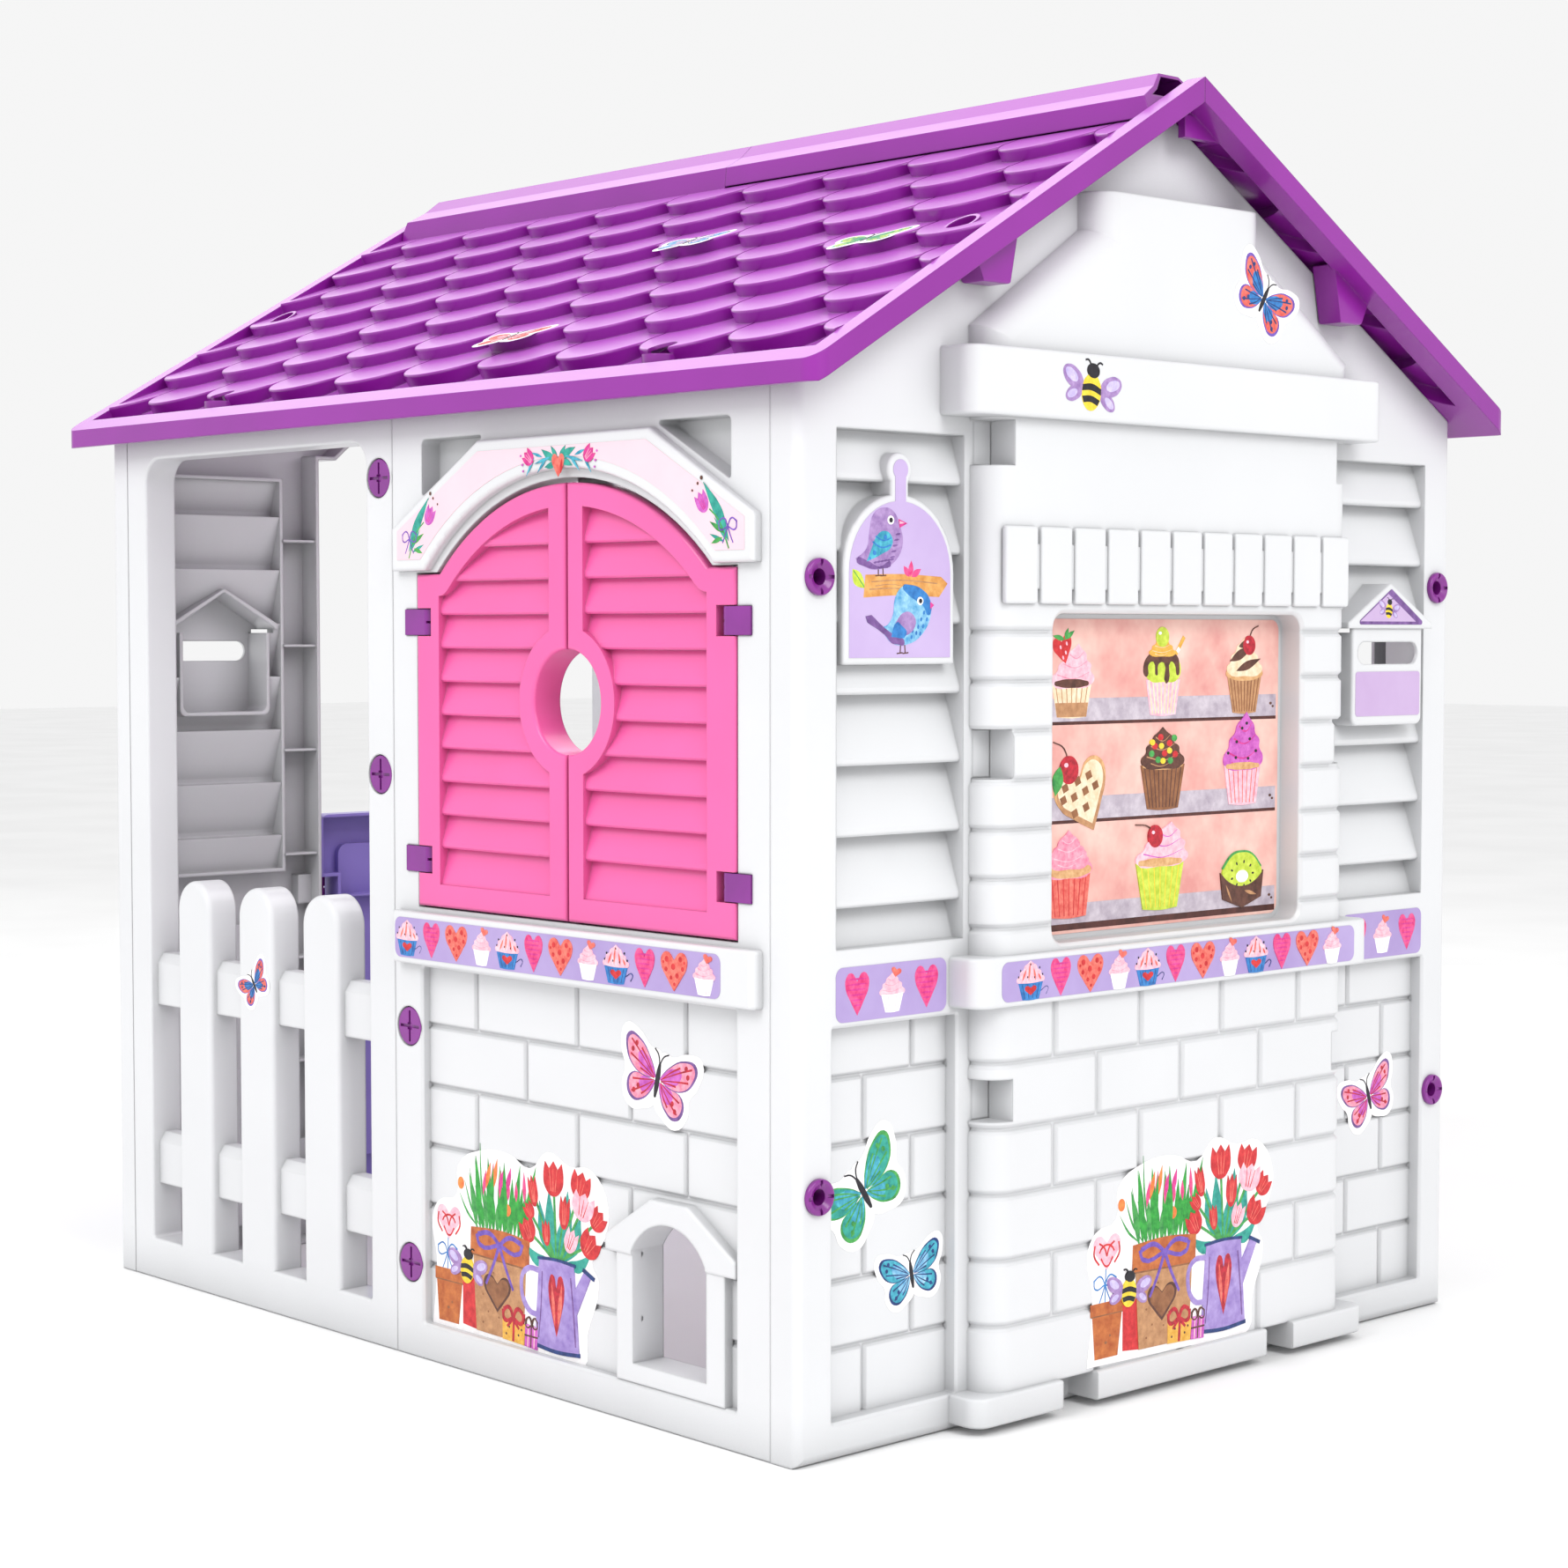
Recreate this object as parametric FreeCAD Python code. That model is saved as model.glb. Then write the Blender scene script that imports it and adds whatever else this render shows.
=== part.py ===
import FreeCAD, Part
import math
import os

# Children's plastic playhouse, in millimetres. X runs along the ridge, the front wall faces -Y and
# the chimney gable faces +X. The origin is on the floor, under the middle of the roof.

# ---------------------------------------------------------------- overall sizes
house_length = 945.0        # over the outer faces of the two gable walls
house_depth = 792.0         # over the outer faces of the front and back walls
wall_height = 786.0         # floor to the top of the front and back walls
roof_pitch = 30.2           # degrees
gable_overhang = 42.5       # roof past a gable face
eave_overhang = 23.5        # roof past a front face
skin = 3.5                  # wall of every white moulding
wall_depth = 31.0           # depth of the front and back mouldings
gable_depth = 28.5          # depth of the gable mouldings, and width of their corner returns
seam_gap = 0.3              # between neighbouring mouldings
corner_radius = 8.0         # outer corner of the house

# ---------------------------------------------------------------- fence moulding
seam_offset = 20.0          # seam between the fence and window mouldings, left of the middle
fence_outer_post = 32.0
fence_seam_post = 37.5
fence_bottom_rail = 37.0
fence_head = 24.0
fence_corner = 22.0
picket_count = 3
picket_width = 54.0
picket_top = 376.0
picket_depth = 29.0
fence_rail_height = 48.0
fence_rail_levels = (88.0, 256.0)
fence_rail_setback = 8.0

# ---------------------------------------------------------------- window, shutters and sill
shutter_half_width = 196.0  # seam of the pair to a hinge edge
shutter_bottom = 378.0
shutter_ledge = 650.0       # top of the hinge edge
shutter_arch_radius = 1.2 * shutter_half_width - 0.2
shutter_top = 718.0
shutter_thick = 27.0
shutter_proud = 2.0         # shutter face in front of the wall face
shutter_gap = 1.4           # all round a closed shutter
shutter_seam = 2.4          # between the two shutters
leaf_edge = 3.0             # rounding that lets a leaf turn in its opening
shutter_skin = 3.0
arch_gap = 4.0              # between the arch of the opening and the shutters
outer_stile = 31.0
inner_stile = 21.0
arch_stile = 18.0
bottom_stile = 19.0
louvre_pitch = 27.15
louvre_depth = 7.5
porthole_radius = 41.0
porthole_ring = 59.0
porthole_height = 548.5
clip_levels = (416.5, 611.0)
clip_length = 33.0
clip_height = 21.0
clip_thick = 13.0
clip_room = 3.6             # notch past the round end of a clip
clip_side_gap = 0.8
pin_radius = 2.5
pin_clearance = 0.06        # radial, pin in clip
header_rise = 11.0          # arch of the header board outside the shutter arch
header_half_width = shutter_half_width + 26.5
header_top_half = shutter_half_width - 90.0
header_shoulder = 35.0      # height of the vertical ends of the header board
header_height = 102.0
header_proud = 8.0
sill_half_width = 224.0
sill_bottom = 330.0
sill_top = 373.0
sill_proud = 10.0

# ---------------------------------------------------------------- brickwork and pet door
brick_course = 50.0
brick_base = 28.0           # lowest mortar level
front_brick_length = 130.0
gable_brick_length = 100.0
front_brick_half_width = 194.0
front_brick_depth = 8.0
gable_brick_depth = 12.0
mortar_width = 6.0
mortar_depth = 2.6
pet_door_offset = 119.0     # from the middle of the window moulding
pet_door_half_width = 42.5
pet_door_sill = 45.0
pet_door_spring = 132.0
pet_door_top = 157.0
pet_column = 20.0
pet_hood_half_width = 75.0
pet_hood_top_half = 22.0
pet_hood_height = 46.0
pet_hood_end = 13.0

# ---------------------------------------------------------------- gable walls
siding_inner = 226.0
siding_outer = 357.5
siding_bottom = 373.0
siding_top = 749.0
slat_pitch = 51.6
slat_first = 37.0           # top of the siding to the first lip
slat_front = 4.0
slat_back = 20.0
slat_tray = 24.0
side_brick_inner = 232.0
side_brick_outer = 360.5
side_brick_top = 316.0
breast_half_width = 220.0
breast_proud = 25.0
breast_radius = 22.0
plinth_top = 28.0
plinth_bottom = 6.0
plinth_half_width = 240.0
plinth_proud = 31.0
plinth_gaps = ((-145.0, -105.0), (105.0, 140.0))
mantel_bottom = 763.0
mantel_top = 814.0
mantel_half_width = 252.0
mantel_proud = 34.0
shelf_bottom = 322.0
shelf_top = 360.0
shelf_half_width = 241.0
shelf_proud = 32.0
block_radius = 14.0
hood_top = 941.0
hood_neck_half = 101.0
hood_shoulder = 912.0
hood_base_half = 222.0
hood_base_top = 831.0
frieze_bottom = 624.0
frieze_top = 682.0
frieze_half_width = 210.0
frieze_count = 11
frieze_gap = 3.5
frieze_proud = 4.0
display_half_width = 152.0
display_bottom = 365.0
display_top = 617.0
display_depth = 22.0
quoin_pitch = 37.2
quoin_top = 603.0
notch_levels = ((234.0, 266.0), (493.0, 530.0), (727.0, 761.0))
notch_width = 23.0
plaque_centre = 296.0
plaque_half_width = 57.0
plaque_bottom = 579.0
plaque_spring = 646.0
plaque_knob_radius = 12.5
plaque_knob_height = 721.0
mailbox_centre = 289.0
mailbox_half_width = 50.0
mailbox_bottom = 523.0
mailbox_eave = 606.0
mailbox_apex = 645.0
mailbox_roof_half = 60.0
mailbox_proud = 12.0
mailbox_slot_half = 43.0
mailbox_slot_height = 19.0
mailbox_slot_level = 585.0

# ---------------------------------------------------------------- doorway and half door
doorway_half_width = 183.5
threshold = 37.0
doorway_spring = 772.0
doorway_arch_radius = 240.0
doorway_ledge = 20.0
door_gap = 1.6
door_bottom = 45.0
door_top = 423.0
door_thick = 25.0
door_skin = 3.0
door_clip_levels = (88.0, 350.0)
door_stile = 34.0
plank_count = 5

# ---------------------------------------------------------------- roof
rim_width = 18.0
rim_depth = 17.0            # square to the slope
eave_drop = 16.0            # height of the eave fascia
roof_corner = 14.0
tile_pitch = 102.0
tile_gap = 2.4
tile_arc_depth = 36.0
tile_course = 55.7
tile_first = 111.0          # ridge to the first row of tile tips
tile_rows = 7
tile_lip = 10.5
tile_foot = -8.0            # foot of a lip, square to the slope from the top of the rim
tile_edge = 1.8
field_top = -14.0
roof_skin = 3.0
cap_flat = 12.0
cap_crease = 25.0
cap_half_width = 46.0
cap_rise = 6.0
cap_leg = 17.6              # lower edge of the cap below the plane of the rims
cap_lap_height = -6.5       # lower edge of the free side, square to the other slope
cap_end_gap = 20.0          # end of the cap to the end of the roof
cap_bevel = 18.0
seat_gap = 0.3              # roof to wall
screw_well_radius = 12.0
screw_well_wall = 3.0
well_floor = 5.0
gable_screw_slope = 250.0   # ridge to a gable screw, down the slope
eave_screw_spacing = 612.0
hook_length = 34.0

# ---------------------------------------------------------------- fasteners
seam_screw_inset = 19.5     # from the seam to a screw
fence_screw_levels = (484.0, 731.0)
window_screw_levels = (78.0, 276.0)
seam_head_radius = 16.0
seam_head_thick = 3.6
seam_pocket_depth = 4.0
seam_shank_radius = 6.0
seam_tab_height = 44.0
seam_tab_level = 24.2       # depth of the tab's near face
corner_bolt_levels = (196.0, 642.0)
corner_bolt_inset = 20.5    # from the front face
ring_radius = 13.5
ring_hole_radius = 6.0
ring_thick = 4.0
corner_shank_radius = 8.0
nut_radius = 11.0
nut_thick = 6.0
corner_nut_radius = 12.0
hole_clearance = 0.3        # radial, round every screw shank
roof_screw_radius = 2.5
roof_screw_head = 7.0
label_thick = 0.4

# ---------------------------------------------------------------- derived values
half_length = house_length / 2
half_depth = house_depth / 2
pitch = math.radians(roof_pitch)
rise = math.tan(pitch)
rim_drop = rim_depth / math.cos(pitch)
ridge_height = wall_height + seat_gap + rim_drop + half_depth * rise
roof_half_length = half_length + gable_overhang
roof_half_depth = half_depth + eave_overhang
panel_edge = half_length - gable_depth - seam_gap
fence_left = -panel_edge
fence_right = -seam_offset - seam_gap / 2
window_left = -seam_offset + seam_gap / 2
window_right = panel_edge
window_middle = (window_left + window_right) / 2
arch_centre = shutter_top - shutter_arch_radius
clip_end_radius = clip_thick / 2
pin_inset = clip_length / 2 - clip_end_radius
pin_depth = clip_end_radius - shutter_proud + 0.5
pet_door_middle = window_middle + pet_door_offset
overlap = 0.5               # how far joined features run into each other

V = FreeCAD.Vector


# ================================================================= drawing helpers
# A wall is drawn in its own frame: u runs to the right as seen from outside, d runs inward from the
# wall face, and z is up. place_wall() turns it to its side of the house.

def place_wall(shape, side):
    angle, spot = {
        "front": (0, V(0, -half_depth, 0)),
        "chimney": (90, V(half_length, 0, 0)),
        "back": (180, V(0, half_depth, 0)),
        "doorway": (270, V(-half_length, 0, 0)),
    }[side]
    placed = shape.copy()
    placed.rotate(V(0, 0, 0), V(0, 0, 1), angle)
    placed.translate(spot)
    return placed


def box(u, d, z):
    """A block from three (low, high) pairs."""
    return Part.makeBox(u[1] - u[0], d[1] - d[0], z[1] - z[0], V(u[0], d[0], z[0]))


def rod(u, z, radius, d):
    """A cylinder square to the wall."""
    return Part.makeCylinder(radius, d[1] - d[0], V(u, d[0], z), V(0, 1, 0))


def upright(u, d, radius, z):
    return Part.makeCylinder(radius, z[1] - z[0], V(u, d, z[0]), V(0, 0, 1))


def rounded(corners):
    """Closed outline in the wall plane through (u, z, radius) corners."""
    count = len(corners)
    points = [V(c[0], 0, c[1]) for c in corners]
    cuts = []
    for i in range(count):
        back = (points[i - 1] - points[i]).normalize()
        ahead = (points[(i + 1) % count] - points[i]).normalize()
        radius = corners[i][2]
        if radius == 0:
            cuts.append((points[i], None, points[i]))
            continue
        half = back.getAngle(ahead) / 2
        reach = radius / math.tan(half)
        bisector = (back + ahead).normalize()
        centre = points[i] + bisector * (radius / math.sin(half))
        cuts.append((points[i] + back * reach, centre - bisector * radius, points[i] + ahead * reach))
    edges = []
    for i in range(count):
        start, middle, end = cuts[i]
        if middle is not None:
            edges.append(Part.Arc(start, middle, end).toShape())
        following = cuts[(i + 1) % count][0]
        if end.distanceToPoint(following) > 1e-6:
            edges.append(Part.makeLine(end, following))
    return Part.Wire(edges)


def rectangle(u, z, radius=0.0):
    return rounded([(u[0], z[0], radius), (u[1], z[0], radius), (u[1], z[1], radius), (u[0], z[1], radius)])


def prism(wire, d):
    """The outline's area, from depth d[0] to d[1]."""
    solid = Part.Face(wire).extrude(V(0, d[1] - d[0], 0))
    solid.translate(V(0, d[0], 0))
    return solid


def grow(wire, distance):
    return wire.makeOffset2D(distance)


def soften(shape, radius, chosen):
    """Round the edges whose every vertex passes the test."""
    edges = [edge for edge in shape.Edges if all(chosen(vertex) for vertex in edge.Vertexes)]
    return shape.makeFillet(radius, edges)


def soft_prism(wire, d, radius):
    """A prism with its outer face's edges rounded."""
    return soften(prism(wire, d), radius, lambda vertex: abs(vertex.Y - d[0]) < 1e-6)


def bulge(half_width, proud, radius, z, inset, soft=0.0):
    """A block that stands out of a wall, with its two upright edges rounded."""
    w = half_width - inset
    front = -(proud - inset)
    r = max(radius - inset, 0.5)
    back = skin + overlap if inset else overlap
    path = [
        Part.makeLine(V(-w, back, 0), V(-w, front + r, 0)),
        corner_arc(-w + r, front + r, r, -1),
        Part.makeLine(V(-w + r, front, 0), V(w - r, front, 0)),
        corner_arc(w - r, front + r, r, 1),
        Part.makeLine(V(w, front + r, 0), V(w, back, 0)),
        Part.makeLine(V(w, back, 0), V(-w, back, 0)),
    ]
    solid = Part.Face(Part.Wire(path)).extrude(V(0, 0, z[1] - z[0] - 2 * inset))
    solid.translate(V(0, 0, z[0] + inset))
    if soft and not inset:
        solid = soften(solid, soft,
                       lambda v: v.Y < back - 1e-6 and min(abs(v.Z - z[0]), abs(v.Z - z[1])) < 1e-6)
    return solid


def corner_arc(u, d, radius, side):
    """Quarter circle in plan from a block's front to its side, drawn from low u to high u."""
    flank = V(u + side * radius, d, 0)
    nose = V(u, d - radius, 0)
    middle = V(u + side * radius * math.sqrt(0.5), d - radius * math.sqrt(0.5), 0)
    if side < 0:
        return Part.Arc(flank, middle, nose).toShape()
    return Part.Arc(nose, middle, flank).toShape()


def arch_wire(middle, half_width, bottom, spring, arc_radius, arc_height, ledge_half):
    """Opening with upright sides, a ledge at the spring and an arc above it."""
    foot = arc_height + math.sqrt(arc_radius ** 2 - ledge_half ** 2)
    points = [
        V(middle - ledge_half, 0, foot),
        V(middle - half_width, 0, spring),
        V(middle - half_width, 0, bottom),
        V(middle + half_width, 0, bottom),
        V(middle + half_width, 0, spring),
        V(middle + ledge_half, 0, foot),
    ]
    edges = []
    for a, b in zip(points, points[1:]):
        if a.distanceToPoint(b) > 1e-6:
            edges.append(Part.makeLine(a, b))
    edges.append(Part.Arc(points[-1], V(middle, 0, arc_height + arc_radius), points[0]).toShape())
    return Part.Wire(edges)


def shutter_pair_wire(middle, extra_side, extra_arch):
    """Outline of the closed pair of shutters, or of the opening round it."""
    radius = shutter_arch_radius + extra_arch
    spring = shutter_ledge + extra_side
    ledge_half = math.sqrt(radius ** 2 - (spring - arch_centre) ** 2)
    return arch_wire(middle, shutter_half_width + extra_side, shutter_bottom - extra_side, spring,
                     radius, arch_centre, ledge_half)


def header_board(middle, base, arc_radius, arc_height):
    """Peaked board with an arch cut out of its lower edge."""
    foot = math.sqrt(arc_radius ** 2 - (base - arc_height) ** 2)
    points = [
        (middle - foot, base),
        (middle - header_half_width, base),
        (middle - header_half_width, base + header_shoulder),
        (middle - header_top_half, base + header_height),
        (middle + header_top_half, base + header_height),
        (middle + header_half_width, base + header_shoulder),
        (middle + header_half_width, base),
        (middle + foot, base),
    ]
    points = [V(u, 0, z) for u, z in points]
    edges = [Part.makeLine(a, b) for a, b in zip(points, points[1:])]
    edges.append(Part.Arc(points[-1], V(middle, 0, arc_height + arc_radius), points[0]).toShape())
    return soft_prism(Part.Wire(edges), (-header_proud, overlap), 3.0)


def v_groove(start, end, width, depth, face):
    """Cutter for a mortar line on the plane d = face, between two (u, z) points."""
    run = V(end[0] - start[0], 0, end[1] - start[1])
    side = V(-run.z, 0, run.x).normalize() * (width / 2)
    a = V(start[0], face, start[1])
    out = V(0, -1, 0)
    points = [a - side + out, a - side, a - side * 0.35 - out * depth, a + side * 0.35 - out * depth, a + side,
              a + side + out]
    return Part.Face(Part.makePolygon(points + [points[0]])).extrude(run)


def mortar_levels(top):
    levels = []
    level = brick_base + brick_course
    while level < top - mortar_width:
        levels.append(level)
        level += brick_course
    return levels


def mortar(u, z, face, brick, middle, levels):
    """Cutters for a wall of bricks: each course, and its joints in running bond."""
    cutters = [v_groove((u[0] - 1, level), (u[1] + 1, level), mortar_width, mortar_depth, face)
               for level in levels]
    courses = [z[0]] + levels + [z[1]]
    for index, (low, high) in enumerate(zip(courses, courses[1:])):
        shift = 0.0 if index % 2 else brick / 2
        reach = int((u[1] - u[0]) / brick) + 2
        for step in range(-reach, reach + 1):
            place = middle + shift + step * brick
            if u[0] + 12 < place < u[1] - 12:
                cutters.append(v_groove((place, low), (place, high), mortar_width, mortar_depth, face))
    return cutters


def zigzag(u, z, lips, front, back, wall):
    """Sheet of overlapping slats: each leans out to a lip at its lower edge."""
    step = lips[0] - lips[1]
    lean = (back - front) / step

    def face_at(level, lip):
        return front + (level - lip) * lean

    outer = [(face_at(z[1], lips[0]), z[1] + wall)]
    for lip in lips:
        outer += [(front, lip + 5), (front, lip + 1.5), (front + 1.5, lip), (back, lip)]
    outer.append((face_at(z[0], lips[-1] - step), z[0] - overlap))
    inner = [(d + wall + 0.5, level + wall) for d, level in outer]
    inner[-1] = (inner[-1][0], z[0] - overlap)
    inner[0] = (inner[0][0], z[1] + wall)
    points = [V(u[0], d, level) for d, level in outer + inner[::-1]]
    return Part.Face(Part.makePolygon(points + [points[0]])).extrude(V(u[1] - u[0], 0, 0))


def lip_levels(top, bottom, first, step):
    levels = [top - first]
    while levels[-1] - step > bottom + 8:
        levels.append(levels[-1] - step)
    return levels


# ================================================================= front and back mouldings

def panel_tray(u):
    """Open-backed rectangular moulding."""
    block = box(u, (0, wall_depth), (0, wall_height))
    block = soften(block, 1.2, lambda v: abs(v.Y) < 1e-6)
    hollow = box((u[0] + skin, u[1] - skin), (skin, wall_depth + 1), (skin, wall_height - skin))
    return block.cut(hollow)


def seam_pockets(middles, levels):
    """Pocket, boss and bore for each seam screw: what is added, and what is cut."""
    added, removed = [], []
    for level in levels:
        added.append(rod(middles, level, seam_head_radius + 3.5, (0, seam_pocket_depth + skin)))
        added.append(rod(middles, level, seam_shank_radius + 3.5, (skin, seam_tab_level - seam_gap)))
        removed.append(rod(middles, level, seam_head_radius + 0.8, (-1, seam_pocket_depth)))
        removed.append(rod(middles, level, seam_shank_radius + hole_clearance, (-1, wall_depth)))
    return added, removed


def seam_tab(edge, side, level):
    """Tab that reaches behind the neighbouring moulding, and takes its screw."""
    reach = edge + side * (seam_screw_inset + 13.5)
    root = edge - side * skin
    low, high = sorted((reach, root))
    z = (level - seam_tab_height / 2, level + seam_tab_height / 2)
    tab = box((low, high), (seam_tab_level, seam_tab_level + skin), z)
    hole = rod(edge + side * (seam_screw_inset + seam_gap / 2), level, seam_shank_radius + hole_clearance,
               (0, wall_depth))
    return tab.cut(hole)


def tab_notch(edge, side, level):
    """Room in a seam flange for the neighbour's tab."""
    low, high = sorted((edge - side, edge + side * (skin + 1)))
    z = (level - seam_tab_height / 2 - 1, level + seam_tab_height / 2 + 1)
    return box((low, high), (seam_tab_level - 0.6, wall_depth + 1), z)


def corner_bolt_holes(edge, side):
    low, high = sorted((edge + side, edge - side * (skin + 1)))
    holes = []
    for level in corner_bolt_levels:
        holes.append(Part.makeCylinder(corner_shank_radius + hole_clearance, high - low,
                                       V(low, corner_bolt_inset, level), V(1, 0, 0)))
    return holes


def eave_screw_holes(places):
    return [upright(place, 16.0, roof_screw_radius + hole_clearance, (wall_height - 9, wall_height + 1))
            for place in places]


def fence_opening():
    u = (fence_left + fence_outer_post, fence_right - fence_seam_post)
    return u, (fence_bottom_rail, wall_height - fence_head)


def picket(middle):
    """Hollow picket with a round top, open at the back."""
    half = picket_width / 2
    wire = arch_wire(middle, half, fence_bottom_rail - 2, picket_top - half, half, picket_top - half, half)
    inside = arch_wire(middle, half - skin, fence_bottom_rail + skin, picket_top - half, half - skin,
                       picket_top - half, half - skin)
    solid = prism(wire, (0, picket_depth))
    solid = soften(solid, 5.0, lambda v: abs(v.Y) < 1e-6 and v.Z > fence_bottom_rail + 1)
    return solid, prism(inside, (skin, picket_depth + 1))


def fence_rail(u, level):
    """Rail behind the picket faces, with a bevelled top edge."""
    top = level + fence_rail_height
    d = fence_rail_setback
    back = picket_depth - 2
    points = [(d, level), (d, top - 9), (d + 6, top), (back, top), (back, level)]
    points = [V(u[0] - 1, a, b) for a, b in points]
    solid = Part.Face(Part.makePolygon(points + [points[0]])).extrude(V(u[1] - u[0] + 2, 0, 0))
    hollow = box((u[0], u[1]), (d + 6 + skin, back + 1), (level + skin, top - skin))
    return solid, hollow


def fence_panel():
    """Left moulding: a tall opening over a picket fence."""
    u, z = fence_opening()
    wire = rounded([(u[0], z[0], 3), (u[1], z[0], 3), (u[1], z[1], fence_corner), (u[0], z[1], fence_corner)])
    screw_u = fence_right - seam_screw_inset
    added, removed = seam_pockets(screw_u, fence_screw_levels)
    collar = prism(grow(wire, skin), (0, wall_depth))
    panel = panel_tray((fence_left, fence_right)).multiFuse([collar] + added)
    opening = prism(wire, (-1, wall_depth + 1))
    panel = panel.cut([opening] + removed)
    outer_edges = [edge for edge in panel.Edges if on_opening_rim(edge, u, z)]
    panel = panel.makeFillet(2.5, outer_edges)
    gap = (u[1] - u[0] - picket_count * picket_width) / (picket_count + 1)
    outsides, insides = [], []
    for index in range(picket_count):
        outside, inside = picket(u[0] + gap + picket_width / 2 + index * (gap + picket_width))
        outsides.append(outside)
        insides.append(inside)
    for level in fence_rail_levels:
        outside, inside = fence_rail(u, level)
        outsides.append(outside)
        insides.append(inside)
    fence = outsides[0].multiFuse(outsides[1:]).cut(insides)
    tabs = [seam_tab(fence_right, 1, level) for level in window_screw_levels]
    panel = panel.multiFuse([fence] + tabs)
    holes = [tab_notch(fence_right, -1, level) for level in fence_screw_levels]
    holes += corner_bolt_holes(fence_left, -1)
    holes += eave_screw_holes([-eave_screw_spacing / 2])
    return panel.cut(holes)


def on_opening_rim(edge, u, z):
    """True for an edge of the fence opening on the wall face."""
    for vertex in edge.Vertexes:
        inside = u[0] - 0.1 < vertex.X < u[1] + 0.1 and z[0] - 0.1 < vertex.Z < z[1] + 0.1
        if abs(vertex.Y) > 1e-6 or not inside:
            return False
    return True


def clip_socket(edge, side, level, gap, depth_back):
    """Notch for the fixed end of a hinge clip beside an opening: outer block and the cut."""
    low, high = sorted((edge - side * 3, edge + side * (clip_length / 2 + gap + 0.4)))
    z = (level - clip_height / 2 - 0.3, level + clip_height / 2 + 0.3)
    wall = skin
    outer = box((low - wall, high + wall), (0, depth_back + wall), (z[0] - wall, z[1] + wall))
    return outer, box((low, high), (-header_proud, depth_back), z)


def clip_depth_back():
    return pin_depth + clip_end_radius


def triangle_pocket(middle, side):
    """Sunk triangle between the header board and the corner of the panel."""
    top = shutter_ledge + header_height + 8
    points = [
        (middle + side * 190.0, top - 47.0, 2.0),
        (middle + side * 190.0, top, 5.0),
        (middle + side * 104.0, top, 2.0),
    ]
    if side < 0:
        points = points[::-1]
    return rounded(points)


def pet_door_wire(extra):
    half = pet_door_half_width + extra
    sagitta = pet_door_top - pet_door_spring
    radius = (pet_door_half_width ** 2 + sagitta ** 2) / (2 * sagitta)
    centre = pet_door_top - radius
    spring = centre + math.sqrt((radius + extra) ** 2 - half ** 2)
    return arch_wire(pet_door_middle, half, pet_door_sill - extra, spring, radius + extra, centre, half)


def pet_door_frame():
    """Two columns and a peaked hood round the pet door."""
    outer = pet_door_half_width + pet_column
    base = pet_door_spring - 4
    hood = rounded([
        (pet_door_middle - pet_hood_half_width, base, 0),
        (pet_door_middle + pet_hood_half_width, base, 0),
        (pet_door_middle + pet_hood_half_width, base + pet_hood_end, 2),
        (pet_door_middle + pet_hood_top_half, base + pet_hood_height, 6),
        (pet_door_middle - pet_hood_top_half, base + pet_hood_height, 6),
        (pet_door_middle - pet_hood_half_width, base + pet_hood_end, 2),
    ])
    columns = rectangle((pet_door_middle - outer, pet_door_middle + outer), (brick_base + 2, base + 1))
    hood = soft_prism(hood, (-1.5, front_brick_depth + 1), 2.5)
    return hood.fuse(soft_prism(columns, (0.0, front_brick_depth + 1), 1.2))


def sill():
    """Hollow ledge under the shutters."""
    half, z = sill_half_width, (sill_bottom, sill_top)
    outer = bulge(half, sill_proud, 6.0, z, 0, 2.5)
    outer = outer.cut(bulge(half, sill_proud, 6.0, z, skin))
    outer.translate(V(window_middle, 0, 0))
    return outer


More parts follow.
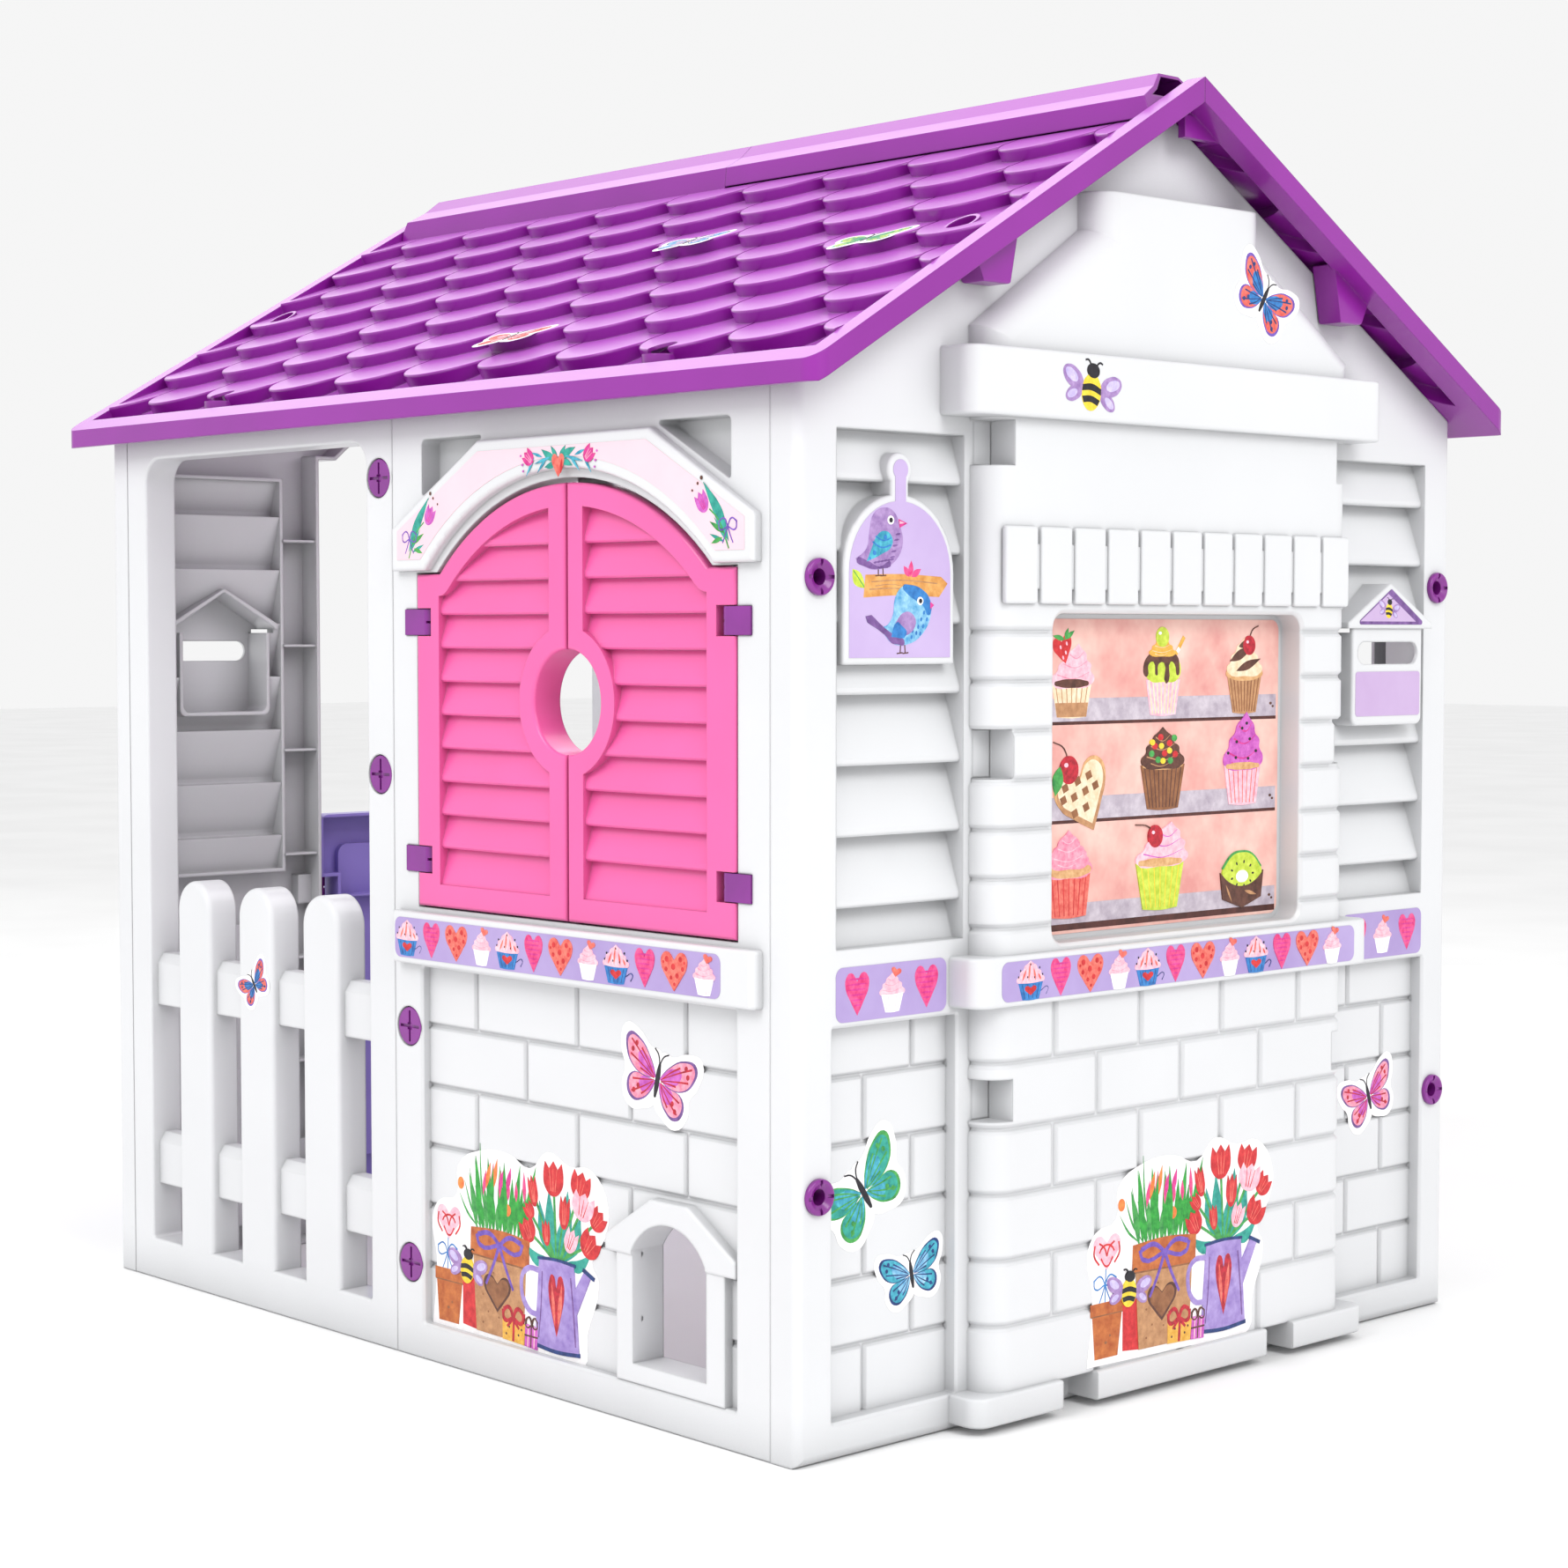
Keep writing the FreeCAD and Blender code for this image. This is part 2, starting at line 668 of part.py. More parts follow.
def window_panel():
    """Right moulding: shuttered window, header board, sill, brickwork and pet door."""
    u = (window_left, window_right)
    opening = shutter_pair_wire(window_middle, shutter_gap, arch_gap)
    bricks = ((window_middle - front_brick_half_width, window_middle + front_brick_half_width),
              (brick_base + 2, sill_bottom - 3))
    screw_u = window_left + seam_screw_inset
    added, removed = seam_pockets(screw_u, window_screw_levels)
    added.append(prism(grow(opening, skin), (0, wall_depth)))
    removed.append(prism(opening, (-1, wall_depth + 1)))
    added.append(box((bricks[0][0] - skin, bricks[0][1] + skin), (0, front_brick_depth + skin),
                     (bricks[1][0] - skin, bricks[1][1] + skin)))
    removed.append(soft_cut(rectangle(*bricks, radius=2.0), front_brick_depth))
    for side in (-1, 1):
        pocket = triangle_pocket(window_middle, side)
        added.append(prism(grow(pocket, skin), (0, 18 + skin)))
        removed.append(prism(pocket, (-1, 18)))
        edge = window_middle + side * (shutter_half_width + shutter_gap)
        for level in clip_levels:
            outer, cut = clip_socket(edge, side, level, -shutter_gap, clip_depth_back())
            added.append(outer)
            removed.append(cut)
    panel = panel_tray(u).multiFuse(added).cut(removed)
    header = header_board(window_middle, shutter_ledge + 3, shutter_arch_radius + header_rise, arch_centre)
    stop_depth = (shutter_thick - shutter_proud + 0.4, wall_depth)
    stops = [box((window_middle - 18, window_middle + 18), stop_depth, z)
             for z in ((shutter_bottom - 3, shutter_bottom + 8), (shutter_top - 7, shutter_top + 6))]
    pieces = [header, sill(), pet_door_frame(), prism(pet_door_wire(skin), (0.5, wall_depth))] + stops
    pieces += [seam_tab(window_left, -1, level) for level in fence_screw_levels]
    panel = panel.multiFuse(pieces)
    cutters = mortar(bricks[0], bricks[1], front_brick_depth, front_brick_length, window_middle,
                     mortar_levels(bricks[1][1]))
    guard = pet_door_frame()
    cutters = [cutter.cut(guard) for cutter in cutters]
    cutters.append(prism(pet_door_wire(0), (-5, wall_depth + 1)))
    cutters += [tab_notch(window_left, 1, level) for level in window_screw_levels]
    cutters += corner_bolt_holes(window_right, 1)
    cutters += eave_screw_holes([eave_screw_spacing / 2])
    return panel.cut(cutters)


def soft_cut(wire, depth):
    """Cutter for a tray with a bevelled rim."""
    straight = prism(wire, (-1, depth))
    rim = Part.makeLoft([shifted(grow(wire, 2.6), -0.6), shifted(wire, 2.0)], True, True)
    return straight.fuse(rim)


def shifted(wire, d):
    moved = wire.copy()
    moved.translate(V(0, d, 0))
    return moved


# ================================================================= shutters, clips and half door

def hinge_notch(edge, side, level, depth):
    """Notch in a leaf for a clip: walls to add, cut, and the pin across it. side points into the leaf."""
    end = edge + side * (pin_inset + clip_end_radius + clip_room)
    low, high = sorted((edge - side * 2, end))
    z = (level - clip_height / 2 - clip_side_gap, level + clip_height / 2 + clip_side_gap)
    inner, outer = sorted((edge, end + side * skin))
    walls = box((inner, outer), depth, (z[0] - skin, z[1] + skin))
    cut = box((low, high), (depth[0] - 5, depth[1] + 1), z)
    pin = upright(edge + side * pin_inset, pin_depth, pin_radius, (z[0] - skin / 2, z[1] + skin / 2))
    return walls, cut, pin


def half_plane(middle, side, start):
    """Everything on one side of the seam between the shutters."""
    low, high = sorted((middle + side * start, middle + side * 400.0))
    return box((low, high), (-60, 60), (0, 900))


def shutter(side):
    """Louvred shutter with half of the round window. side is -1 for the left one."""
    middle = window_middle
    back = shutter_thick - shutter_proud
    front = -shutter_proud
    keep = half_plane(middle, side, shutter_seam / 2)
    hole = rod(middle, porthole_height, porthole_radius, (-60, 60))
    leaf = prism(shutter_pair_wire(middle, 0, 0), (front, back)).common(keep).cut(hole)
    leaf = soften(leaf, leaf_edge, lambda v: abs(v.Y - front) < 1e-6)
    inner_keep = half_plane(middle, side, shutter_seam / 2 + shutter_skin)
    hollow = prism(grow(shutter_pair_wire(middle, 0, 0), -shutter_skin), (front + shutter_skin, back + 1))
    ring = rod(middle, porthole_height, porthole_radius + shutter_skin, (-60, 60))
    hollow = hollow.common(inner_keep).cut(ring)
    field = louvre_field(side, 0.0)
    walls = prism_of(louvre_field(side, -2.5), (front + 1, louvre_depth + 3))
    edge = middle + side * shutter_half_width
    walls_list, cuts, pins = [walls], [prism_of(field, (front - 1, louvre_depth + 4))], []
    for level in clip_levels:
        wall, cut, pin = hinge_notch(edge, -side, level, (front + 2.6, back))
        walls_list.append(wall)
        cuts.append(cut)
        pins.append(pin)
    leaf = leaf.cut(hollow).multiFuse(walls_list).cut(cuts)
    u = sorted((middle + side * inner_stile, middle + side * (shutter_half_width - outer_stile)))
    top = arch_centre + shutter_arch_radius - arch_stile
    bottom = shutter_bottom + bottom_stile
    lips = lip_levels(top, bottom, 29.0, louvre_pitch)
    slats = zigzag((u[0] - 1, u[1] + 1), (bottom, top), lips, front + 2.2, louvre_depth, 2.0)
    slats = slats.common(prism_of(louvre_field(side, -1.0), (-20, 40)))
    return leaf.multiFuse([slats] + pins)


def louvre_field(side, inset):
    """Face of the slatted area of one shutter: under the arch, round the porthole ring."""
    middle = window_middle
    pair = grow(shutter_pair_wire(middle, 0, 0), -(arch_stile + inset))
    face = prism(pair, (0, 1))
    reach = shutter_half_width - outer_stile - inset
    low, high = sorted((middle + side * (inner_stile + inset), middle + side * reach))
    area = box((low, high), (-1, 2), (shutter_bottom + bottom_stile + inset, 900))
    return face.common(area).cut(rod(middle, porthole_height, porthole_ring + inset, (-2, 3)))


def prism_of(slab, d):
    """A one-millimetre slab's outline, stretched to another depth range."""
    face = [f for f in slab.Faces if abs(f.CenterOfMass.y) < 1e-6][0]
    solid = face.extrude(V(0, d[1] - d[0], 0))
    solid.translate(V(0, d[0], 0))
    return solid


def clip(edge, side, level):
    """Snap-in hinge clip: square end in the wall, round end about the leaf's pin."""
    pin_u = edge + side * pin_inset
    d = (pin_depth - clip_end_radius, pin_depth + clip_end_radius)
    z = (level - clip_height / 2, level + clip_height / 2)
    low, high = sorted((edge - side * clip_length / 2, pin_u))
    body = box((low, high), d, z).fuse(upright(pin_u, pin_depth, clip_end_radius, z)).removeSplitter()
    slot_low, slot_high = sorted((pin_u + side * 2.2, pin_u + side * (clip_end_radius + 1)))
    slot = box((slot_low, slot_high), (d[0] - 1, d[1] + 1), (level - 1.0, level + 1.0))
    bore = upright(pin_u, pin_depth, pin_radius + pin_clearance, (z[0] - 1, z[1] + 1))
    return body.cut([slot, bore])


def shutter_clips(side):
    edge = window_middle + side * shutter_half_width
    return Part.makeCompound([clip(edge, -side, level) for level in clip_levels])


def half_door():
    """Half-height door, hinged on the side next to the front wall, planked outside, ribbed inside."""
    half = doorway_half_width - door_gap
    u = (-half, half)
    z = (door_bottom, door_top)
    leaf = soft_prism(rectangle(u, z, 10.0), (0, door_thick), leaf_edge)
    hollow = box((u[0] + door_skin, u[1] - door_skin), (door_skin, door_thick + 1),
                 (z[0] + door_skin, z[1] - door_skin))
    field = rectangle((u[0] + door_stile, u[1] - door_stile), (z[0] + door_stile, z[1] - door_stile), 8.0)
    leaf = leaf.cut(hollow).fuse(prism(grow(field, door_skin), (0.5, 6 + door_skin)))
    leaf = leaf.cut(soft_cut(field, 6.0))
    ribs = [box((place - 1.2, place + 1.2), (6, door_thick - 1), z) for place in (-half / 3, half / 3)]
    rib_level = door_top - 82.0
    ribs.append(box(u, (6, door_thick - 1), (rib_level - 1.2, rib_level + 1.2)))
    ribs = [rib.common(box((u[0] + 1, u[1] - 1), (0, 40), (z[0] + 1, z[1] - 1))) for rib in ribs]
    width = 2 * (half - door_stile) / plank_count
    cuts = []
    for index in range(1, plank_count):
        place = -half + door_stile + index * width
        cuts.append(v_groove((place, z[0] + door_stile), (place, z[1] - door_stile), 5.0, 2.0, 6.0))
    pins = []
    walls = []
    for level in door_clip_levels:
        wall, cut, pin = hinge_notch(half, -1, level, (2.6, door_thick))
        walls.append(wall)
        cuts.append(cut)
        pins.append(pin)
    return leaf.multiFuse(ribs + walls).cut(cuts).multiFuse(pins)


def door_clips():
    half = doorway_half_width - door_gap
    return Part.makeCompound([clip(half, -1, level) for level in door_clip_levels])


# ================================================================= gable walls

def roof_line(u, inset):
    """Height of a gable's top edge, or of its inside when inset."""
    under_ridge = ridge_height - rim_drop - (seat_gap + inset) / math.cos(pitch)
    return under_ridge - abs(u) * rise


def gable_wire(inset):
    half = half_depth - inset
    corners = [(-half, inset), (half, inset), (half, roof_line(half, inset)), (0, roof_line(0, inset)),
               (-half, roof_line(half, inset))]
    return rounded([(u, z, 0) for u, z in corners])


def gable_tray():
    """Open-backed house-shaped moulding whose sides turn the corners of the house."""
    block = prism(gable_wire(0), (0, gable_depth))
    block = soften(block, corner_radius, lambda v: abs(v.Y) < 1e-6 and abs(abs(v.X) - half_depth) < 1e-6)
    return block.cut(prism(gable_wire(skin), (skin, gable_depth + 1)))


def siding_lips():
    return lip_levels(siding_top, siding_bottom, slat_first, slat_pitch)


def siding_trays():
    """Added blocks and cuts for the two slatted strips and the two brick strips."""
    added, removed = [], []
    for side in (-1, 1):
        u = sorted((side * siding_inner, side * siding_outer))
        z = (siding_bottom, siding_top)
        added.append(box((u[0] - skin, u[1] + skin), (0, slat_tray), (z[0] - skin, z[1] + skin)))
        removed.append(prism(rectangle(u, z), (-1, slat_tray + 1)))
        bricks = side_brick_range(side)
        z = (brick_base, side_brick_top)
        added.append(box((bricks[0] - skin, bricks[1] + skin), (0, gable_brick_depth + skin),
                         (z[0] - skin, z[1] + skin)))
        removed.append(soft_cut(rectangle(bricks, z, 1.0), gable_brick_depth))
    return added, removed


def side_brick_range(side):
    return sorted((side * side_brick_inner, side * side_brick_outer))


def slats(side):
    u = sorted((side * siding_inner, side * siding_outer))
    return zigzag((u[0] - 1, u[1] + 1), (siding_bottom, siding_top), siding_lips(), slat_front, slat_back, 3.0)


def side_mortar():
    cutters = []
    for side in (-1, 1):
        cutters += mortar(side_brick_range(side), (brick_base, side_brick_top), gable_brick_depth,
                          gable_brick_length, side * 268.0, mortar_levels(side_brick_top))
    return cutters


def plaque_wire(inset):
    """Birdcage outline: straight sides, domed top and a round knob."""
    half = plaque_half_width - inset
    knob = plaque_knob_radius - inset
    neck = knob * 0.72
    dome_foot = plaque_spring + math.sqrt(half ** 2 - neck ** 2)
    knob_foot = plaque_knob_height - math.sqrt(knob ** 2 - neck ** 2)
    m = -plaque_centre
    turn = math.atan2(dome_foot - plaque_spring, neck) / 2
    right = V(m + half * math.cos(turn), 0, plaque_spring + half * math.sin(turn))
    left = V(m - half * math.cos(turn), 0, plaque_spring + half * math.sin(turn))
    base = plaque_bottom + inset
    points = [V(m - half, 0, plaque_spring), V(m - half, 0, base), V(m + half, 0, base),
              V(m + half, 0, plaque_spring)]
    edges = [Part.makeLine(a, b) for a, b in zip(points, points[1:])]
    edges.append(Part.Arc(points[-1], right, V(m + neck, 0, dome_foot)).toShape())
    edges.append(Part.makeLine(V(m + neck, 0, dome_foot), V(m + neck, 0, knob_foot)))
    knob_top = V(m, 0, plaque_knob_height + knob)
    edges.append(Part.Arc(V(m + neck, 0, knob_foot), knob_top, V(m - neck, 0, knob_foot)).toShape())
    edges.append(Part.makeLine(V(m - neck, 0, knob_foot), V(m - neck, 0, dome_foot)))
    edges.append(Part.Arc(V(m - neck, 0, dome_foot), left, points[0]).toShape())
    return Part.Wire(edges)


def plaque_face():
    return -3.0


def plaque():
    """Hollow birdcage-shaped plaque over the left slats."""
    outer = soft_prism(plaque_wire(0), (plaque_face(), slat_tray), 2.5)
    return outer.cut(prism(plaque_wire(skin), (plaque_face() + skin, slat_tray + 1)))


def mailbox_wires(inset):
    m, half, roof_half = mailbox_centre, mailbox_half_width - inset, mailbox_roof_half - inset
    body = rounded([(m - half, mailbox_bottom + inset, 7), (m + half, mailbox_bottom + inset, 7),
                    (m + half, mailbox_eave + 4, 0), (m - half, mailbox_eave + 4, 0)])
    roof = rounded([(m - roof_half, mailbox_eave - inset, 0), (m + roof_half, mailbox_eave - inset, 0),
                    (m + roof_half, mailbox_eave + 5 - inset, 2), (m, mailbox_apex - inset, 3),
                    (m - roof_half, mailbox_eave + 5 - inset, 2)])
    return body, roof


def mailbox():
    """Letter box over the right slats: the box and its little roof, and the hollow behind them."""
    body, roof = mailbox_wires(0)
    outer = soft_prism(body, (-mailbox_proud, slat_tray), 2.5)
    outer = outer.fuse(soft_prism(roof, (-mailbox_proud - 3, slat_tray), 1.5))
    body, roof = mailbox_wires(skin)
    hollow = prism(body, (-mailbox_proud + skin, slat_tray + 1))
    return outer.cut([hollow, prism(roof, (-mailbox_proud + skin, slat_tray + 1))])


def mailbox_slot():
    half, height = mailbox_slot_half, mailbox_slot_height / 2
    u = (mailbox_centre - half, mailbox_centre + half)
    z = (mailbox_slot_level - height, mailbox_slot_level + height)
    return prism(rectangle(u, z, height - 0.01), (-mailbox_proud - 9, slat_tray + 2))


def corner_bosses():
    """Tubes that hold the corner bolts between the gable and the front or back moulding."""
    added, removed = [], []
    for side in (-1, 1):
        place = side * (half_depth - corner_bolt_inset)
        for level in corner_bolt_levels:
            added.append(rod(place, level, corner_shank_radius + 3, (skin - overlap, gable_depth)))
            removed.append(rod(place, level, corner_shank_radius + hole_clearance, (-1, gable_depth + 1)))
    return added, removed


def gable_screw_place(side):
    """Where a gable screw crosses the sloping top edge: its u and z."""
    u = side * (gable_screw_slope * math.cos(pitch) - (rim_depth + seat_gap) * math.sin(pitch))
    return u, roof_line(u, 0)


def gable_screw_holes():
    holes = []
    for side in (-1, 1):
        u, z = gable_screw_place(side)
        along = V(-side * math.sin(pitch), 0, -math.cos(pitch))
        start = V(u, gable_depth / 2, z) - along * 2
        holes.append(Part.makeCylinder(roof_screw_radius + hole_clearance, 14, start, along))
    return holes


def post_ribs():
    """Short stiffening ribs up the strips beside the middle bay."""
    ribs = []
    for side in (-1, 1):
        u = sorted((side * (doorway_half_width + 1), side * (siding_inner - skin + 1)))
        level = 80.0
        while level < siding_top + 30:
            ribs.append(box(u, (skin - overlap, gable_depth - 2), (level - 1.2, level + 1.2)))
            level += 102.0
    return ribs


def finish_gable(shell):
    """Slats, plaque, letter box, bosses and holes that both gables share."""
    added, removed = corner_bosses()
    keep_out = [prism(plaque_wire(skin), (-10, slat_tray + 9))]
    keep_out += [prism(wire, (-20, slat_tray + 9)) for wire in mailbox_wires(skin)]
    strips = slats(-1).fuse(slats(1)).cut(keep_out)
    shell = shell.multiFuse([strips, plaque(), mailbox()] + added)
    return shell.cut(removed + side_mortar() + gable_screw_holes() + [mailbox_slot()])


# ---- chimney gable

def hood_side(side, inset):
    """Half of the space under the hood's sloping shoulder, its edge rounded like a chimney breast."""
    run = math.hypot(hood_base_half - hood_neck_half, hood_shoulder - hood_base_top)
    angle = math.degrees(math.atan2(hood_shoulder - hood_base_top, hood_base_half - hood_neck_half))
    front = -(breast_proud - inset)
    r = max(breast_radius - inset, 0.5)
    back = skin + overlap if inset else overlap
    top = -inset
    path = [
        Part.makeLine(V(0, back, top), V(0, front + r, top)),
        Part.Arc(V(0, front + r, top), V(0, front + r - r * math.sqrt(0.5), top - r + r * math.sqrt(0.5)),
                 V(0, front, top - r)).toShape(),
        Part.makeLine(V(0, front, top - r), V(0, front, -500)),
        Part.makeLine(V(0, front, -500), V(0, back, -500)),
        Part.makeLine(V(0, back, -500), V(0, back, top)),
    ]
    solid = Part.Face(Part.Wire(path)).extrude(V(run * 6, 0, 0))
    solid.translate(V(-run * 3, 0, 0))
    solid.rotate(V(0, 0, 0), V(0, 1, 0), side * angle)
    solid.translate(V(side * hood_base_half, 0, hood_base_top))
    return solid


def hood(inset):
    """Tapering smoke hood between the mantel and the gable's peak."""
    z = (mantel_top - 5 * overlap, hood_top)
    lower = bulge(hood_base_half, breast_proud, breast_radius, z, inset)
    lower = lower.common(hood_side(-1, inset)).common(hood_side(1, inset))
    neck = bulge(hood_neck_half, breast_proud, breast_radius, z, inset)
    return lower.fuse(neck)


def breast(inset):
    return bulge(breast_half_width, breast_proud, breast_radius, (plinth_top, mantel_bottom + overlap), inset)


def plinth_blocks(inset):
    """Three low blocks along the foot of the chimney breast."""
    z = (plinth_bottom, plinth_top + overlap)
    whole = bulge(plinth_half_width, plinth_proud, block_radius, z, inset, 2.0)
    gaps = [box((low - inset, high + inset), (-60, 20), (0, plinth_top + 5)) for low, high in plinth_gaps]
    return whole.cut(gaps)


def mantel(inset):
    return bulge(mantel_half_width, mantel_proud, block_radius, (mantel_bottom, mantel_top), inset, 2.5)


def shelf(inset):
    return bulge(shelf_half_width, shelf_proud, block_radius, (shelf_bottom, shelf_top), inset, 2.5)


def breast_notches():
    """Missing corner stones: walled pockets in the edges of the chimney breast."""
    solid_breast = breast(0)
    added, removed = [], []
    for side in (-1, 1):
        for low, high in notch_levels:
            u = sorted((side * (breast_half_width + 2), side * (breast_half_width - notch_width)))
            walls = box((u[0] - skin, u[1] + skin), (-breast_proud, skin), (low - skin, high + skin))
            added.append(walls.common(solid_breast))
            removed.append(box(u, (-breast_proud - 1, 0), (low, high)))
    return added, removed


def edge_groove(level, gap_half):
    """Cutter that follows the breast's face and rounded edges, at one level."""
    w, front, r = breast_half_width, -breast_proud, breast_radius
    path = Part.Wire([
        Part.makeLine(V(-w, 0, level), V(-w, front + r, level)),
        shifted_up(corner_arc(-w + r, front + r, r, -1), level),
        Part.makeLine(V(-w + r, front, level), V(w - r, front, level)),
        shifted_up(corner_arc(w - r, front + r, r, 1), level),
        Part.makeLine(V(w, front + r, level), V(w, 0, level)),
    ])
    reach, depth = mortar_width / 2 + 0.8, mortar_depth
    section = [V(-w - 1, 0, level - reach), V(-w, 0, level - reach), V(-w + depth, 0, level - 1),
               V(-w + depth, 0, level + 1), V(-w, 0, level + reach), V(-w - 1, 0, level + reach)]
    section = Part.makePolygon(section + [section[0]])
    groove = path.makePipeShell([section], True, False)
    if gap_half:
        groove = groove.cut(box((-gap_half, gap_half), (-60, 20), (level - 20, level + 20)))
    return groove


def shifted_up(edge, level):
    edge.translate(V(0, 0, level))
    return edge


def quoin_levels():
    levels = [quoin_top]
    while levels[-1] - quoin_pitch > shelf_top + 10:
        levels.append(levels[-1] - quoin_pitch)
    return levels


def breast_mortar():
    """Brick joints below the shelf and corner-stone joints above it."""
    levels = mortar_levels(shelf_bottom)
    cutters = [edge_groove(level, 0) for level in levels]
    cutters += [edge_groove(level, display_half_width) for level in quoin_levels()]
    reach = breast_half_width - breast_radius
    courses = [plinth_top] + levels + [shelf_bottom]
    for index, (low, high) in enumerate(zip(courses, courses[1:])):
        shift = 0.0 if index % 2 == 0 else gable_brick_length / 2
        for step in range(-3, 4):
            place = shift + step * gable_brick_length
            if abs(place) < reach - 20:
                cutters.append(v_groove((place, low), (place, high), mortar_width + 1.6, mortar_depth,
                                        -breast_proud))
    return cutters


def frieze():
    """Row of upright blocks above the display recess, joined by low webs."""
    pitch_u = (2 * frieze_half_width + frieze_gap) / frieze_count
    z = (frieze_bottom, frieze_top)
    face = -breast_proud - frieze_proud
    pieces = []
    for index in range(frieze_count):
        start = -frieze_half_width + index * pitch_u
        wire = rectangle((start, start + pitch_u - frieze_gap), z, 2.5)
        pieces.append(soft_prism(wire, (face, -breast_proud + overlap), 1.8))
    web = rectangle((-frieze_half_width + 4, frieze_half_width - 4), (z[0] + 11, z[1] - 13))
    pieces.append(prism(web, (-breast_proud - 1.8, -breast_proud + overlap)))
    return pieces


def chimney_gable():
    """Gable wall with a chimney breast, mantel, hood, shelf and display recess."""
    parts = (breast, hood, mantel, shelf, plinth_blocks)
    shell = gable_tray().multiFuse([make(0) for make in parts])
    shell = shell.cut([make(skin) for make in parts])
    added, removed = siding_trays()
    notch_added, notch_removed = breast_notches()
    display = rectangle((-display_half_width, display_half_width), (display_bottom, display_top), 12.0)
    front, floor = -breast_proud, -breast_proud + display_depth
    added.append(prism(grow(display, skin), (front, floor + skin)))
    rim = Part.makeLoft([shifted(grow(display, 3.4), front - 0.6), shifted(display, front + 2.8)], True, True)
    removed += [prism(display, (front - 1, floor)), rim]
    shell = shell.multiFuse(added + notch_added).cut(removed + notch_removed)
    shell = shell.cut(breast_mortar()).multiFuse(frieze() + post_ribs())
    return finish_gable(shell)


# ---- doorway gable

def doorway_wire(extra):
    ledge_half = doorway_half_width - doorway_ledge
    centre = doorway_spring - math.sqrt(doorway_arch_radius ** 2 - ledge_half ** 2)
    radius = doorway_arch_radius + extra
    spring = doorway_spring + extra
    ledge_half = math.sqrt(radius ** 2 - (spring - centre) ** 2)
    return arch_wire(0, doorway_half_width + extra, threshold - extra, spring, radius, centre, ledge_half)


def doorway_header():
    ledge_half = doorway_half_width - doorway_ledge
    centre = doorway_spring - math.sqrt(doorway_arch_radius ** 2 - ledge_half ** 2)
    return header_board(0, doorway_spring + 3, doorway_arch_radius + 5, centre)


def doorway_gable():
    """Gable wall with an arched doorway over a low threshold."""
    added, removed = siding_trays()
    added.append(prism(doorway_wire(skin), (0, gable_depth)))
    removed.append(prism(doorway_wire(0), (-1, gable_depth + 1)))
    sockets = []
    for level in door_clip_levels:
        outer, cut = clip_socket(doorway_half_width, 1, level, -door_gap, clip_depth_back())
        added.append(outer)
        sockets.append(cut)
    shell = gable_tray().multiFuse(added).cut(removed)
    stop = box((-doorway_half_width - 1, -doorway_half_width + 9), (door_thick + 0.4, gable_depth),
               (200, 260))
    shell = shell.multiFuse([doorway_header(), stop] + post_ribs())
    return finish_gable(shell.cut(sockets))


# ================================================================= roof
# One slope is drawn flat, with x along the ridge, -y down the slope and z square to it, the top of
# its rim at z = 0. tilt() then turns it to the front slope.

def tilt(shape):
    turned = shape.copy()
    turned.rotate(V(0, 0, 0), V(1, 0, 0), roof_pitch)
    turned.translate(V(0, 0, ridge_height))
    return turned


def half_turn(shape):
    turned = shape.copy()
    turned.rotate(V(0, 0, 0), V(0, 0, 1), 180)
    return turned


def slope_to_rim():
    return (roof_half_depth - rim_width) / math.cos(pitch)


def tile(inset):
    """One round-ended tile, tip at the origin; inset gives the hollow under it."""
    half = (tile_pitch - tile_gap) / 2 - inset
    radius = ((tile_pitch / 2) ** 2 + tile_arc_depth ** 2) / (2 * tile_arc_depth)
    tip = inset
    shoulder = radius - math.sqrt((radius - inset) ** 2 - half ** 2)
    lean = tile_lip / tile_course
    length = tile_course + (tile_foot - field_top) / lean
    base = field_top - 1 - (12 if inset else 0)
    points = [V(-half, length, base), V(-half, shoulder, base), V(half, shoulder, base),
              V(half, length, base)]
    edges = [
        Part.makeLine(points[0], points[1]),
        Part.Arc(points[1], V(0, tip, base), points[2]).toShape(),
        Part.makeLine(points[2], points[3]),
        Part.makeLine(points[3], points[0]),
    ]
    block = Part.Face(Part.Wire(edges)).extrude(V(0, 0, 60))
    crest = tile_foot + tile_lip - inset
    wedge = [V(-tile_pitch, -10, base), V(-tile_pitch, -10, crest + 10 * lean),
             V(-tile_pitch, length + 5, crest - (length + 5) * lean), V(-tile_pitch, length + 5, base)]
    if wedge[2].z < base:
        wedge = wedge[:2] + [V(-tile_pitch, (crest - base) / lean, base)]
    wedge = Part.Face(Part.makePolygon(wedge + [wedge[0]])).extrude(V(2 * tile_pitch, 0, 0))
    solid = block.common(wedge)
    if inset:
        return solid
    rim = [edge for edge in solid.Edges if isinstance(edge.Curve, Part.Ellipse)]
    return solid.makeFillet(tile_edge, rim)


def tile_places():
    """Tip of every tile: rows in running bond from the ridge cap to the eave."""
    places = []
    for row in range(tile_rows):
        slope = tile_first + row * tile_course
        if slope > slope_to_rim() - 12:
            break
        shift = 0.0 if row % 2 == 0 else tile_pitch / 2
        reach = int(roof_half_length / tile_pitch) + 1
        for step in range(-reach, reach + 1):
            x = shift + step * tile_pitch
            if abs(x) - tile_pitch / 2 < roof_half_length - rim_width - 6:
                places.append((x, -slope))
    return places


